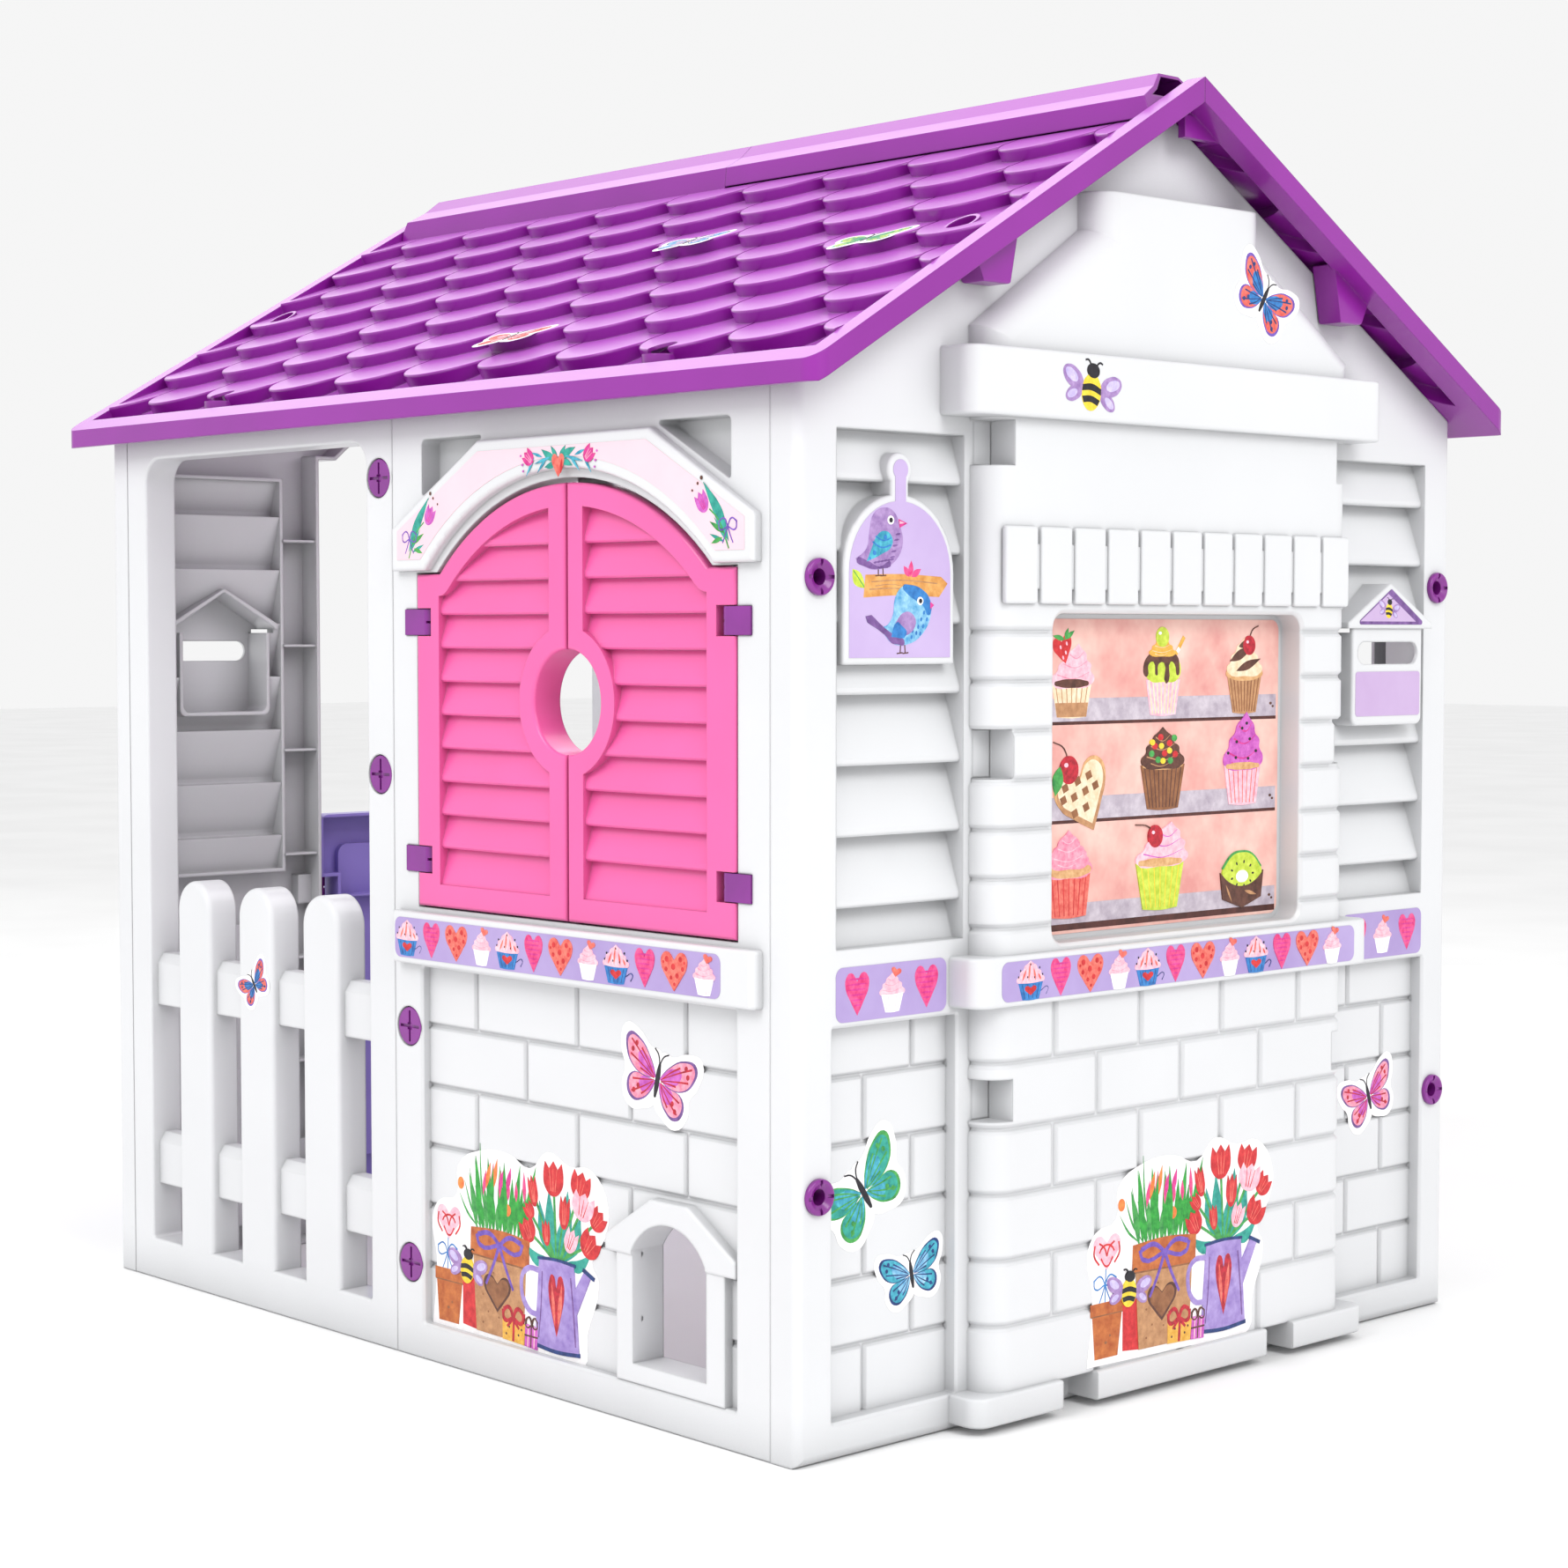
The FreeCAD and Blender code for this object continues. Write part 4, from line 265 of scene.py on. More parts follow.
def stroke(path, width, end=None):
    """Brush stroke along a path, from one width to another."""
    end = width if end is None else end
    left, right = [], []
    for i, (x, y) in enumerate(path):
        ax, ay = path[max(i - 1, 0)]
        bx, by = path[min(i + 1, len(path) - 1)]
        length = math.hypot(bx - ax, by - ay) or 1.0
        nx, ny = -(by - ay) / length, (bx - ax) / length
        half = (width + (end - width) * i / (len(path) - 1)) / 2
        left.append((x + nx * half, y + ny * half))
        right.append((x - nx * half, y - ny * half))
    return [(*left[0], 1)] + left[1:-1] + [(*left[-1], 1),
                                           (*right[-1], 1)] + right[-2:0:-1] + [(*right[0], 1)]


def blade(x0, y0, x1, y1, width, bend=0.0):
    """Leaf or petal between two points, pointed at both ends."""
    dx, dy = x1 - x0, y1 - y0
    length = math.hypot(dx, dy)
    nx, ny = -dy / length, dx / length
    mx, my = x0 + dx * 0.5 + nx * bend, y0 + dy * 0.5 + ny * bend
    w = width / 2
    return [(x0, y0, 1), (x0 + dx * 0.25 + nx * (bend * 0.6 + w * 0.75),
                          y0 + dy * 0.25 + ny * (bend * 0.6 + w * 0.75)),
            (mx + nx * w, my + ny * w), (x1, y1, 1), (mx - nx * w, my - ny * w),
            (x0 + dx * 0.25 + nx * (bend * 0.6 - w * 0.75), y0 + dy * 0.25 + ny * (bend * 0.6 - w * 0.75))]


def pleats(x, y, top, bottom, height, count, width=0.8):
    """Fold lines of a paper case."""
    lines = []
    for i in range(count):
        share = (i + 0.5) / count - 0.5
        lines.append(stroke([(x + share * bottom, y + 0.8), (x + share * top, y + height - 0.8)], width))
    return lines


def paper_case(x, y, top, bottom, height):
    return [(x - bottom / 2, y, 1), (x, y - height * 0.04), (x + bottom / 2, y, 1),
            (x + top / 2, y + height, 1),
            (x, y + height * 0.95), (x - top / 2, y + height, 1)]


def swirl(x, y, w, h, lean=0.0):
    """Piped topping in three tiers that ends in a point."""
    half = [(0.50, 0.06), (0.53, 0.20), (0.41, 0.36), (0.40, 0.50), (0.27, 0.62), (0.23, 0.76),
            (0.10, 0.88)]
    right = [(x + a * w + lean * b, y + b * h) for a, b in half]
    left = [(x - a * w + lean * b, y + b * h) for a, b in half[::-1]]
    return right + [(x + lean, y + h, 1)] + left + [(x, y - h * 0.04)]


def swirl_folds(x, y, w, h, lean=0.0):
    """Shadow lines of the piped tiers."""
    folds = []
    for level, reach in ((0.24, 0.40), (0.50, 0.30), (0.72, 0.18)):
        base = y + level * h
        mid = x + lean * level
        folds.append(stroke([(mid - reach * w, base + h * 0.03), (mid, base - h * 0.07),
                             (mid + reach * w, base + h * 0.09)],
                            h * 0.035, h * 0.012))
    folds.append(stroke([(x - 0.30 * w, y + 0.10 * h), (x - 0.05 * w, y + 0.02 * h),
                         (x + 0.2 * w, y + 0.12 * h)],
                        h * 0.03, h * 0.01))
    return folds


def tulip(x, y, w, h, angle=0.0):
    """Cup of a tulip, and the lines between its petals."""
    cup = [(0, -h / 2), (w * 0.42, -h * 0.25), (w * 0.5, h * 0.1), (w * 0.42, h * 0.5, 1),
           (w * 0.22, h * 0.3, 1),
           (0, h * 0.54, 1), (-w * 0.22, h * 0.3, 1), (-w * 0.42, h * 0.5, 1), (-w * 0.5, h * 0.1),
           (-w * 0.42, -h * 0.25)]
    lines = [stroke([(s * w * 0.10, -h * 0.35), (s * w * 0.20, h * 0.32)], h * 0.05, h * 0.02)
             for s in (-1, 0, 1)]
    return turned(cup, x, y, angle), [turned(line, x, y, angle) for line in lines]


def bow(x, y, w, h, thick, tail):
    """Ribbon bow: two loops and two tails, as strokes."""
    loops = []
    for s in (-1, 1):
        loops.append(stroke([(x, y), (x + s * w * 0.22, y + h * 0.5), (x + s * w * 0.48, y + h * 0.32)],
                            thick, thick * 1.2))
        loops.append(stroke([(x + s * w * 0.5, y + h * 0.34), (x + s * w * 0.44, y - h * 0.18), (x, y)],
                            thick * 1.2, thick))
        loops.append(stroke([(x, y), (x + s * w * 0.12, y - tail * 0.45), (x + s * w * 0.30, y - tail)],
                            thick, thick * 0.7))
    return loops


# ================================================================= motifs: lists of (ink, outlines)

def blue_cup(x, y, h):
    """Blue paper cup with a heart, under a red and white swirl."""
    w = h * 0.94
    base = y - h * 0.5
    top = swirl(x, base + h * 0.42, w * 1.05, h * 0.58)
    dots = [oval(x + a * w, base + b * h, h * 0.022, h * 0.03) for a, b in
            ((-0.40, 0.76), (0.36, 0.80), (-0.48, 0.60), (0.48, 0.62), (-0.12, 0.58), (0.16, 0.56),
             (0.0, 0.9))]
    streaks = [blade(x + a * w, base + h * 0.48, x + b * w, base + h * c, h * 0.07)
               for a, b, c in ((-0.34, -0.16, 0.80), (-0.08, -0.02, 0.96), (0.2, 0.12, 0.82),
                               (0.42, 0.3, 0.66))]
    return [("pale_pink", [top]), ("coral", streaks), ("black", dots),
            ("blue", [paper_case(x, base, w * 0.98, w * 0.66, h * 0.44)]),
            ("navy", pleats(x, base, w * 0.9, w * 0.6, h * 0.42, 4, h * 0.02) +
             [stroke([(x + w * 0.4, base + h * 0.2), (x + w * 0.7, base + h * 0.28),
                      (x + w * 0.62, base + h * 0.1)], h * 0.02)]),
            ("red", [heart(x, base + h * 0.23, w * 0.5, h * 0.25)])]


def pink_cup(x, y, h):
    """Pale swirl with a cherry, in a white case."""
    w = h * 0.78
    base = y - h * 0.5
    return [("pale_pink", [swirl(x, base + h * 0.38, w, h * 0.52)]),
            ("pink", swirl_folds(x, base + h * 0.38, w, h * 0.52)),
            ("white", [paper_case(x, base, w * 0.92, w * 0.58, h * 0.42)]),
            ("pale_pink", pleats(x, base, w * 0.86, w * 0.54, h * 0.40, 5, h * 0.016)),
            ("coral", [heart(x + w * 0.16, base + h * 0.90, w * 0.44, h * 0.22, -15)])]


def striped_heart(x, y, h):
    w = h * 0.80
    stripes = []
    for i in range(6):
        level = -0.26 + i * 0.12
        reach = min(0.46, 0.46 * (level + 0.5) / 0.62) * w
        stripes.append([(x - reach, y + level * h, 1), (x, y + level * h + h * 0.025),
                        (x + reach, y + level * h, 1),
                        (x, y + level * h - h * 0.025)])
    return [("hot_pink", [heart(x, y, w, h)]), ("magenta", stripes)]


def dotted_heart(x, y, h):
    w = h * 1.06
    dots = [oval(x + a * w, y + b * h, r * h, r * h) for a, b, r in
            ((-0.26, 0.30, 0.075), (0.24, 0.32, 0.07), (-0.02, 0.12, 0.08), (0.32, 0.08, 0.06),
             (-0.28, 0.04, 0.06),
             (0.12, -0.10, 0.07), (-0.10, -0.16, 0.055), (0.02, -0.32, 0.045), (-0.38, 0.22, 0.04),
             (0.38, 0.24, 0.04))]
    return [("coral", [heart(x, y, w, h)]), ("red", dots)]


def bee(x, y, s, angle=0.0):
    """Bee of span s with its head up."""
    wings, veins = [], []
    for side in (-1, 1):
        wings.append(oval(side * 0.33, 0.07, 0.19, 0.115, side * 24))
        wings.append(oval(side * 0.29, -0.11, 0.15, 0.085, side * -30))
        veins.append(oval(side * 0.36, 0.09, 0.12, 0.06, side * 24))
        veins.append(oval(side * 0.32, -0.12, 0.09, 0.045, side * -30))
    body = [oval(0, -0.05, 0.165, 0.215)]
    stripes = [[(-0.16, 0.015, 1), (0, 0.05), (0.16, 0.015, 1), (0.165, -0.06, 1), (0, -0.03),
                (-0.165, -0.06, 1)],
               [(-0.155, -0.12, 1), (0, -0.09), (0.155, -0.12, 1), (0.12, -0.19, 1), (0, -0.165),
                (-0.12, -0.19, 1)]]
    head = [oval(0, 0.20, 0.11, 0.085), stroke([(0.04, 0.25), (0.10, 0.31), (0.15, 0.30)], 0.022),
            stroke([(-0.04, 0.25), (-0.10, 0.31), (-0.15, 0.30)], 0.022)]
    layers = [("mauve", wings), ("lavender", veins), ("yellow", body), ("black", stripes + head)]
    return [(name, [turned(loop, x, y, angle, s) for loop in loops]) for name, loops in layers]


def butterfly(x, y, s, angle, edge, wing, glow, spot):
    """Butterfly of wing span s, head up before it is turned: dark rims, two-tone wings, veins and spots."""
    rims, fields, glows, spots = [], [], [], []
    upper = [(0.02, 0.02, 1), (0.12, 0.16), (0.34, 0.31), (0.50, 0.30), (0.49, 0.14), (0.36, 0.01),
             (0.16, -0.02)]
    lower = [(0.02, -0.01, 1), (0.18, -0.02), (0.37, -0.05), (0.41, -0.19), (0.31, -0.29), (0.17, -0.25),
             (0.07, -0.14)]
    for flip in (False, True):
        rims += [turned(upper, flip=flip), turned(lower, flip=flip)]
        fields += [turned(upper, 0.018 * (-1 if flip else 1), 0.006, 0, 0.90, flip),
                   turned(lower, 0.018 * (-1 if flip else 1), -0.006, 0, 0.88, flip)]
        glows += [turned(upper, 0.014 * (-1 if flip else 1), 0.008, 0, 0.58, flip),
                  turned(lower, 0.014 * (-1 if flip else 1), -0.010, 0, 0.56, flip)]
        sign = -1 if flip else 1
        for a, b in ((0.44, 0.26), (0.28, 0.22), (0.42, 0.12), (0.26, 0.03), (0.34, -0.10), (0.33, -0.22),
                     (0.19, -0.20)):
            spots.append(stroke([(sign * 0.05, 0.1 * b), (sign * a * 0.6, b * 0.62), (sign * a, b)], 0.008,
                                0.020))
        spots += [oval(sign * a, b, 0.022, 0.026)
                  for a, b in ((0.36, 0.24), (0.40, 0.17), (0.25, -0.14), (0.30, -0.20))]
    trunk = [oval(0, 0, 0.030, 0.17), stroke([(0, 0.15), (0.04, 0.24), (0.10, 0.28)], 0.014),
             stroke([(0, 0.15), (-0.04, 0.24), (-0.10, 0.28)], 0.014)]
    layers = [(edge, rims), (wing, fields), (glow, glows), (spot, spots), ("black", trunk)]
    return [(name, [turned(loop, x, y, angle, s) for loop in loops]) for name, loops in layers]


def butterfly_backing(s, angle):
    """White die-cut sheet a little larger than the butterfly."""
    lobes = []
    for flip in (False, True):
        lobes.append(turned([(-0.04, 0.0), (0.0, 0.27), (0.16, 0.28), (0.36, 0.38), (0.56, 0.37),
                             (0.56, 0.12), (0.47, -0.03),
                             (0.48, -0.20), (0.34, -0.37), (0.14, -0.33), (0.0, -0.24)], 0, 0, angle, s,
                            flip))
    return [("white", lobes)]


def cupcake(x, y, top, bottom, case_h, top_h, case, folds, topping, lines, lean=0.0):
    return [(case, [paper_case(x, y, top, bottom, case_h)]),
            (folds, pleats(x, y, top * 0.94, bottom * 0.92, case_h, 7, 1.0)),
            (topping, [swirl(x, y + case_h * 0.92, top * 1.02, top_h, lean)]),
            (lines, swirl_folds(x, y + case_h * 0.92, top * 1.02, top_h, lean))]


def cherry(x, y, r, stem):
    return [("chocolate", [stroke([(x, y), (x + stem[0] * 0.3, y + stem[1] * 0.75),
                                   (x + stem[0], y + stem[1])], 0.9)]),
            ("cherry", [oval(x, y, r, r)]),
            ("pale_pink", [oval(x - r * 0.3, y + r * 0.35, r * 0.22, r * 0.16)])]


def band(count, pitch, height, motifs):
    """Row of motifs in turn, centred on the label."""
    layers = []
    for i in range(count):
        layers += motifs[i % len(motifs)]((i - (count - 1) / 2) * pitch, 0.0, height)
    return layers


def header_print():
    """Tied sprigs at both feet of the header board, and a heart with leaves at its top."""
    layers = []
    for flip in (False, True):
        def at(loop):
            return turned(loop, 0, 0, 0, 1.0, flip)
        layers += [
            ("teal", [at(blade(-197, 668, -169, 712, 9, 2)), at(blade(-196, 667, -181, 686, 3)),
                      at(blade(-192, 668, -176, 674, 3))]),
            ("leaf", [at(stroke([(-197, 663), (-186, 684), (-176, 692)], 1.2)),
                      at(blade(-193, 674, -176, 683, 4)),
                      at(blade(-190, 671, -178, 667, 3.5))]),
            ("orchid", [at(turned(tulip(0, 0, 13, 16)[0], -168, 697, -30))]),
            ("magenta", [at(turned(line, -168, 697, -30)) for line in tulip(0, 0, 13, 16)[1]]),
            ("chocolate", [at(oval(-167, 715, 1.3, 1.5)), at(oval(-163, 711, 1.0, 1.2)),
                           at(oval(-157, 706, 0.9, 0.9))]),
            ("violet", [at(loop) for loop in bow(-196, 679, 19, 12, 1.1, 12)]),
        ]
    leaves, sprigs, blooms, veins, tips = [], [], [], [], []
    for s in (-1, 1):
        leaves += [blade(s * 2, 735, s * 21, 744, 6, 1), blade(s * 2, 734, s * 17, 730, 5, 1),
                   blade(s * 1, 736, s * 9, 746, 4)]
        sprigs += [blade(s * 8, 738, s * 30, 733, 2.4), blade(s * 14, 738, s * 26, 726, 2.2),
                   blade(s * 20, 738, s * 33, 742, 2.4),
                   blade(s * 30, 738, s * 40, 724, 2)]
        cup, lines = tulip(s * 37, 738, 12, 13, -s * 50)
        blooms.append(cup)
        veins += lines
        tips += [oval(s * 45, 733, 1, 1), oval(s * 44, 728, 0.9, 0.9), oval(s * 47, 740, 0.9, 0.9)]
    layers += [("teal", leaves), ("sea", sprigs), ("magenta", blooms), ("pale_pink", veins),
               ("orchid", tips),
               ("coral", [heart(0, 731, 16, 18)]), ("red", [blade(3, 725, 5, 736, 3)])]
    return layers


def birdcage_print():
    """Two birds and a branch. The origin is the middle of the label's lower edge."""
    upper = [(-17, 109), (-7, 106), (-2, 98), (2, 84), (-5, 71), (-23, 64), (-36, 65.5), (-46, 71.5, 1),
             (-35, 79), (-32, 92), (-28, 104)]
    lower = [(9, 53), (22, 50), (30, 43), (31, 31), (22, 17), (6, 9.5), (-10, 11), (-17, 17),
             (-34, 25.5, 1), (-36, 30, 1),
             (-30, 31, 1), (-18, 22.5), (-9, 29), (-6, 43), (0, 51)]
    specks = [oval(-3 - 2.4 * i * 0.6, 90 - 4.2 * i, 2.6, 0.7, 10) for i in range(5)]
    specks += [oval(-9 - 3.4 * i, 71.5 - 0.8 * i * 0.6, 2.0, 0.7, 12) for i in range(6)]
    chest = [oval(a, b, 1.1, 1.6, -15) for a, b in ((24, 33), (27, 28), (21, 28), (23, 23), (18, 22.5),
        (16, 18), (11, 15), (20, 17.5), (12, 19.5))]
    return [
        ("lime", [blade(-49, 64, -36, 50, 10, -1)]), ("leaf", [stroke([(-48, 63), (-37, 51)], 0.8)]),
        ("wood", [[(-36, 60, 1), (0, 61), (42, 59.5, 1), (49, 54.5, 1), (40, 44.5, 1), (0, 45.5),
                   (-38, 43.5, 1)]]),
        ("tan", [stroke([(-30, 55), (0, 56.5), (38, 54.5)], 0.9),
                 stroke([(-32, 49.5), (-5, 50.5), (20, 48.5)], 1.2, 0.4),
                 stroke([(-26, 52), (-10, 53.4), (4, 52)], 0.8, 0.3)]),
        ("hot_pink", [blade(9, 59, 3, 67, 5), blade(10, 59, 11, 71, 5), blade(11, 59, 21, 65, 5)]),
        ("chocolate", [stroke([(-23, 65), (-23, 59.5)], 1.0), stroke([(-18.4, 65), (-18, 59.5)], 1.0),
                       stroke([(-26, 59.4), (-20, 59.8)], 0.9), stroke([(-21, 59.4), (-15, 59.8)], 0.9),
                       stroke([(0, 11), (-0.5, 3.5)], 1.0), stroke([(4, 11), (4.6, 3.5)], 1.0),
                       stroke([(-4, 3), (2, 3.6)], 0.9),
                       stroke([(2, 3), (8, 3.6)], 0.9)]),
        ("mauve", [upper]), ("plum", specks + [[(-34, 70), (-22, 66), (-10, 69), (-22, 64.6), (-36, 65.8),
                                                (-45, 71)]]),
        ("sea", [[(-18, 92), (-10, 89), (-9, 82), (-20, 75), (-35, 69.5, 1), (-30, 79), (-25, 88)]]),
        ("blue", [stroke([(-29, 84), (-20, 80), (-10, 82)], 1.3),
                  stroke([(-26, 88), (-18, 85), (-10, 87)], 1.1),
                  oval(-27, 76, 1.8, 1.8), oval(-16, 87.5, 1.8, 1.8), oval(-31.5, 72, 1.1, 1.1)]),
        ("magenta", [sharp((-2.5, 101), (6.5, 98), (-1.5, 94.5))]),
            ("pale_pink", [sharp((-1.5, 99.6), (4.0, 98.2), (-1.4, 97.4))]),
        ("white", [oval(-10.5, 100, 3.4, 3.2)]), ("black", [oval(-10.3, 100, 1.9, 1.9)]),
        ("sky", [lower]),
        ("blue", [[(2, 52), (9, 53.2), (22, 50), (30, 43), (31.2, 33), (28, 31), (24, 37), (15, 42),
                   (6, 47)]] + chest),
        ("plum", [[(-10, 11), (-17, 17), (-34, 25.5, 1), (-36, 30, 1), (-30, 31, 1), (-18, 22.5), (-8, 17),
                   (4, 10.4), (-4, 9.6)]]),
        ("mauve", [[(5, 33.5), (13, 31), (15.5, 25), (8, 17), (-10, 15, 1), (-5, 26)]]),
        ("blue", [[(-4, 26), (0, 24), (6, 17), (-10, 15, 1)]]),
        ("magenta", [sharp((30.5, 41), (34.5, 38.5), (30.5, 35.5))]),
        ("white", [oval(20, 41.5, 3.2, 3.0)]), ("black", [oval(20.3, 41.5, 1.8, 1.8)]),
    ]


def display_print():
    """Three shelves of cakes. The origin is the middle of the card."""
    layers = []
    for base, thick in ((40.0, 2.6), (-36.5, 2.6), (-119.5, 5.0)):
        layers.append(("board", [sharp((-145, base + thick), (145, base + thick), (145, base + 20.5),
                                       (-145, base + 20.5))]))
        layers.append(("umber", [sharp((-145, base), (145, base), (145, base + thick),
                                       (-145, base + thick))]))
        layers.append(("chocolate", [oval(138, base + 13, 1.8, 1.2), oval(141, base + 10.5, 1.5, 1.0)]))
    one, two, three = 46.0, -29.0, -109.0
    layers += cupcake(-109, one, 46, 34, 26, 33, "cream", "tan", "pale_pink", "pink", 8)
    layers += [("tan", [sharp((-126, one), (-92, one), (-90, one + 11), (-128, one + 11))]),
               ("chocolate", [oval(-109, one + 26, 20, 3.4)]),
               ("red", [heart(-119, one + 52, 23, 22, 15)]),
               ("pale_pink", [oval(a, one + b, 1.0, 1.6, 20)
                              for a, b in ((-122, 54), (-116, 50), (-119, 46), (-115, 57))]),
               ("leaf", [blade(-117, one + 60, a, one + b, 4)
                         for a, b in ((-131, 63), (-106, 67), (-113, 69))])]
    layers += [("pale_pink", [paper_case(0, one, 42, 31, 28)]),
               ("cream", pleats(0, one, 40, 29, 28, 8, 1.5)),
               ("amber", [stroke([(14, one + 46), (26, one + 62)], 3.4)]),
               ("white", [stroke([(17, one + 50), (20, one + 53)], 3.4)]),
               ("lime", [[(-19, one + 29), (-21, one + 40), (-12, one + 47), (12, one + 47), (21, one + 40),
                          (19, one + 29), (0, one + 26)]]),
               ("chocolate", [[(-22, one + 31), (-24, one + 38), (-17, one + 48), (0, one + 51),
                               (17, one + 47), (20, one + 38), (18, one + 31),
                               (14, one + 40), (9, one + 42), (7, one + 27), (3, one + 25), (1, one + 41),
                               (-6, one + 40), (-8, one + 31),
                               (-12, one + 42), (-18, one + 40), (-19, one + 31)]]),
               ("amber", [swirl(-1, one + 47, 31, 15)]), ("cream", swirl_folds(-1, one + 47, 31, 15)),
               ("lime", [oval(-1, one + 62, 8, 8)]),
               ("white", [oval(-4, one + 65, 2, 1.3)])]
    layers += [("tan", [paper_case(103, one, 44, 30, 30)]), ("bark", pleats(103, one, 42, 28, 30, 9, 1.3)),
               ("cake", [oval(103, one + 32, 24, 6)]), ("cream", [swirl(103, one + 31, 43, 30)]),
               ("chocolate", [blade(84, one + 42, 113, one + 54, 8), blade(92, one + 34, 124, one + 44, 7),
                              blade(95, one + 54, 112, one + 58, 6)])]
    layers += cherry(109, one + 55, 8, (12, 16))
    layers += [("cake", [heart(-94, two + 12, 66, 54, 24)]), ("tan", [heart(-93, two + 9, 62, 50, 24)]),
               ("cream", [heart(-94, two + 13, 58, 47, 24)])]
    layers += [("bark", [turned(sharp((-3.4, -3), (3.4, -3), (3.4, 3), (-3.4, 3)), -96 + 13 * a - 4 * b,
                                two + 14 + 4.5 * a + 9.5 * b, 24)
                         for a, b in ((-1, -1), (0, -1), (-1.6, 0.4), (-0.7, 0.2), (0.3, 0.2), (1.2, 0.2),
                                      (-1.2, 1.2), (-0.1, 1.2), (0.9, 1.2))])]
    layers += cherry(-112, two + 34, 11, (-18, 22)) + [("leaf",
        [blade(-122, two + 37, -128, two + 14, 12)])]
    layers += [("bark", [paper_case(0, two, 54, 38, 35)]),
               ("chocolate", pleats(0, two, 51, 36, 35, 9, 1.2)),
               ("cake", [oval(0, two + 35, 25, 4)]), ("chocolate", [swirl(0, two + 33, 50, 32)]),
               ("tan", swirl_folds(0, two + 33, 50, 32))]
    layers += [("red", [oval(a, two + b, 3.4, 2.6)
                        for a, b in ((-10, 50), (8, 52), (2, 44), (15, 43), (-3, 57))]),
               ("leaf", [oval(a, two + b, 3.4, 2.6) for a, b in ((-14, 44), (14, 56), (-6, 39), (9, 38))]),
               ("yellow", [oval(a, two + b, 3.2, 2.4) for a, b in ((-2, 50), (8, 46), (-13, 53), (0, 38))])]
    layers += cupcake(101, two, 47, 35, 32, 46, "pale_pink", "coral", "orchid", "magenta", 5)
    layers += [("black", [oval(a, two + b, 1.7, 1.3)
                          for a, b in ((82, 42), (92, 38), (108, 37), (118, 43), (93, 51), (110, 53),
                                       (100, 62), (106, 66))]),
               ("cake", [oval(101, two + 31, 22, 3)])]
    layers += cupcake(-112, three, 50, 40, 34, 36, "coral", "red", "pink", "pale_pink", 0)
    layers += [("cake", [oval(-112, three + 36, 26, 6)]), ("pink", [swirl(-112, three + 38, 44, 29)]),
               ("pale_pink", swirl_folds(-112, three + 38, 44, 29))]
    layers += cupcake(-3, three, 59, 42, 38, 34, "lime", "yellow", "pale_pink", "orchid", 14)
    layers += [("cake", [oval(-3, three + 37, 27, 3.4)])] + cherry(-9, three + 58, 9, (-24, 10))
    layers += [("lime", [oval(101, three + 21, 26, 19)]),
               ("leaf", [stroke([(76, three + 27), (88, three + 38), (101, three + 40.5), (114, three + 38),
                                 (126, three + 27)], 1.6)]),
               ("white", [oval(101, three + 20, 8, 5)]),
               ("black", [oval(101 + 14 * math.cos(t * 0.7), three + 22 + 10 * math.sin(t * 0.7), 1.5, 0.9,
                               t * 40) for t in range(9)]),
               ("chocolate", [[(73, three + 24, 1), (76, three + 2, 1), (101, three - 6, 1),
                               (126, three + 2, 1), (129, three + 24, 1), (118, three + 16),
                               (101, three + 12), (84, three + 16)]]),
               ("tan", [blade(104, three + 8, 120, three + 4, 3), blade(80, three + 14, 88, three - 1, 2)])]
    return layers


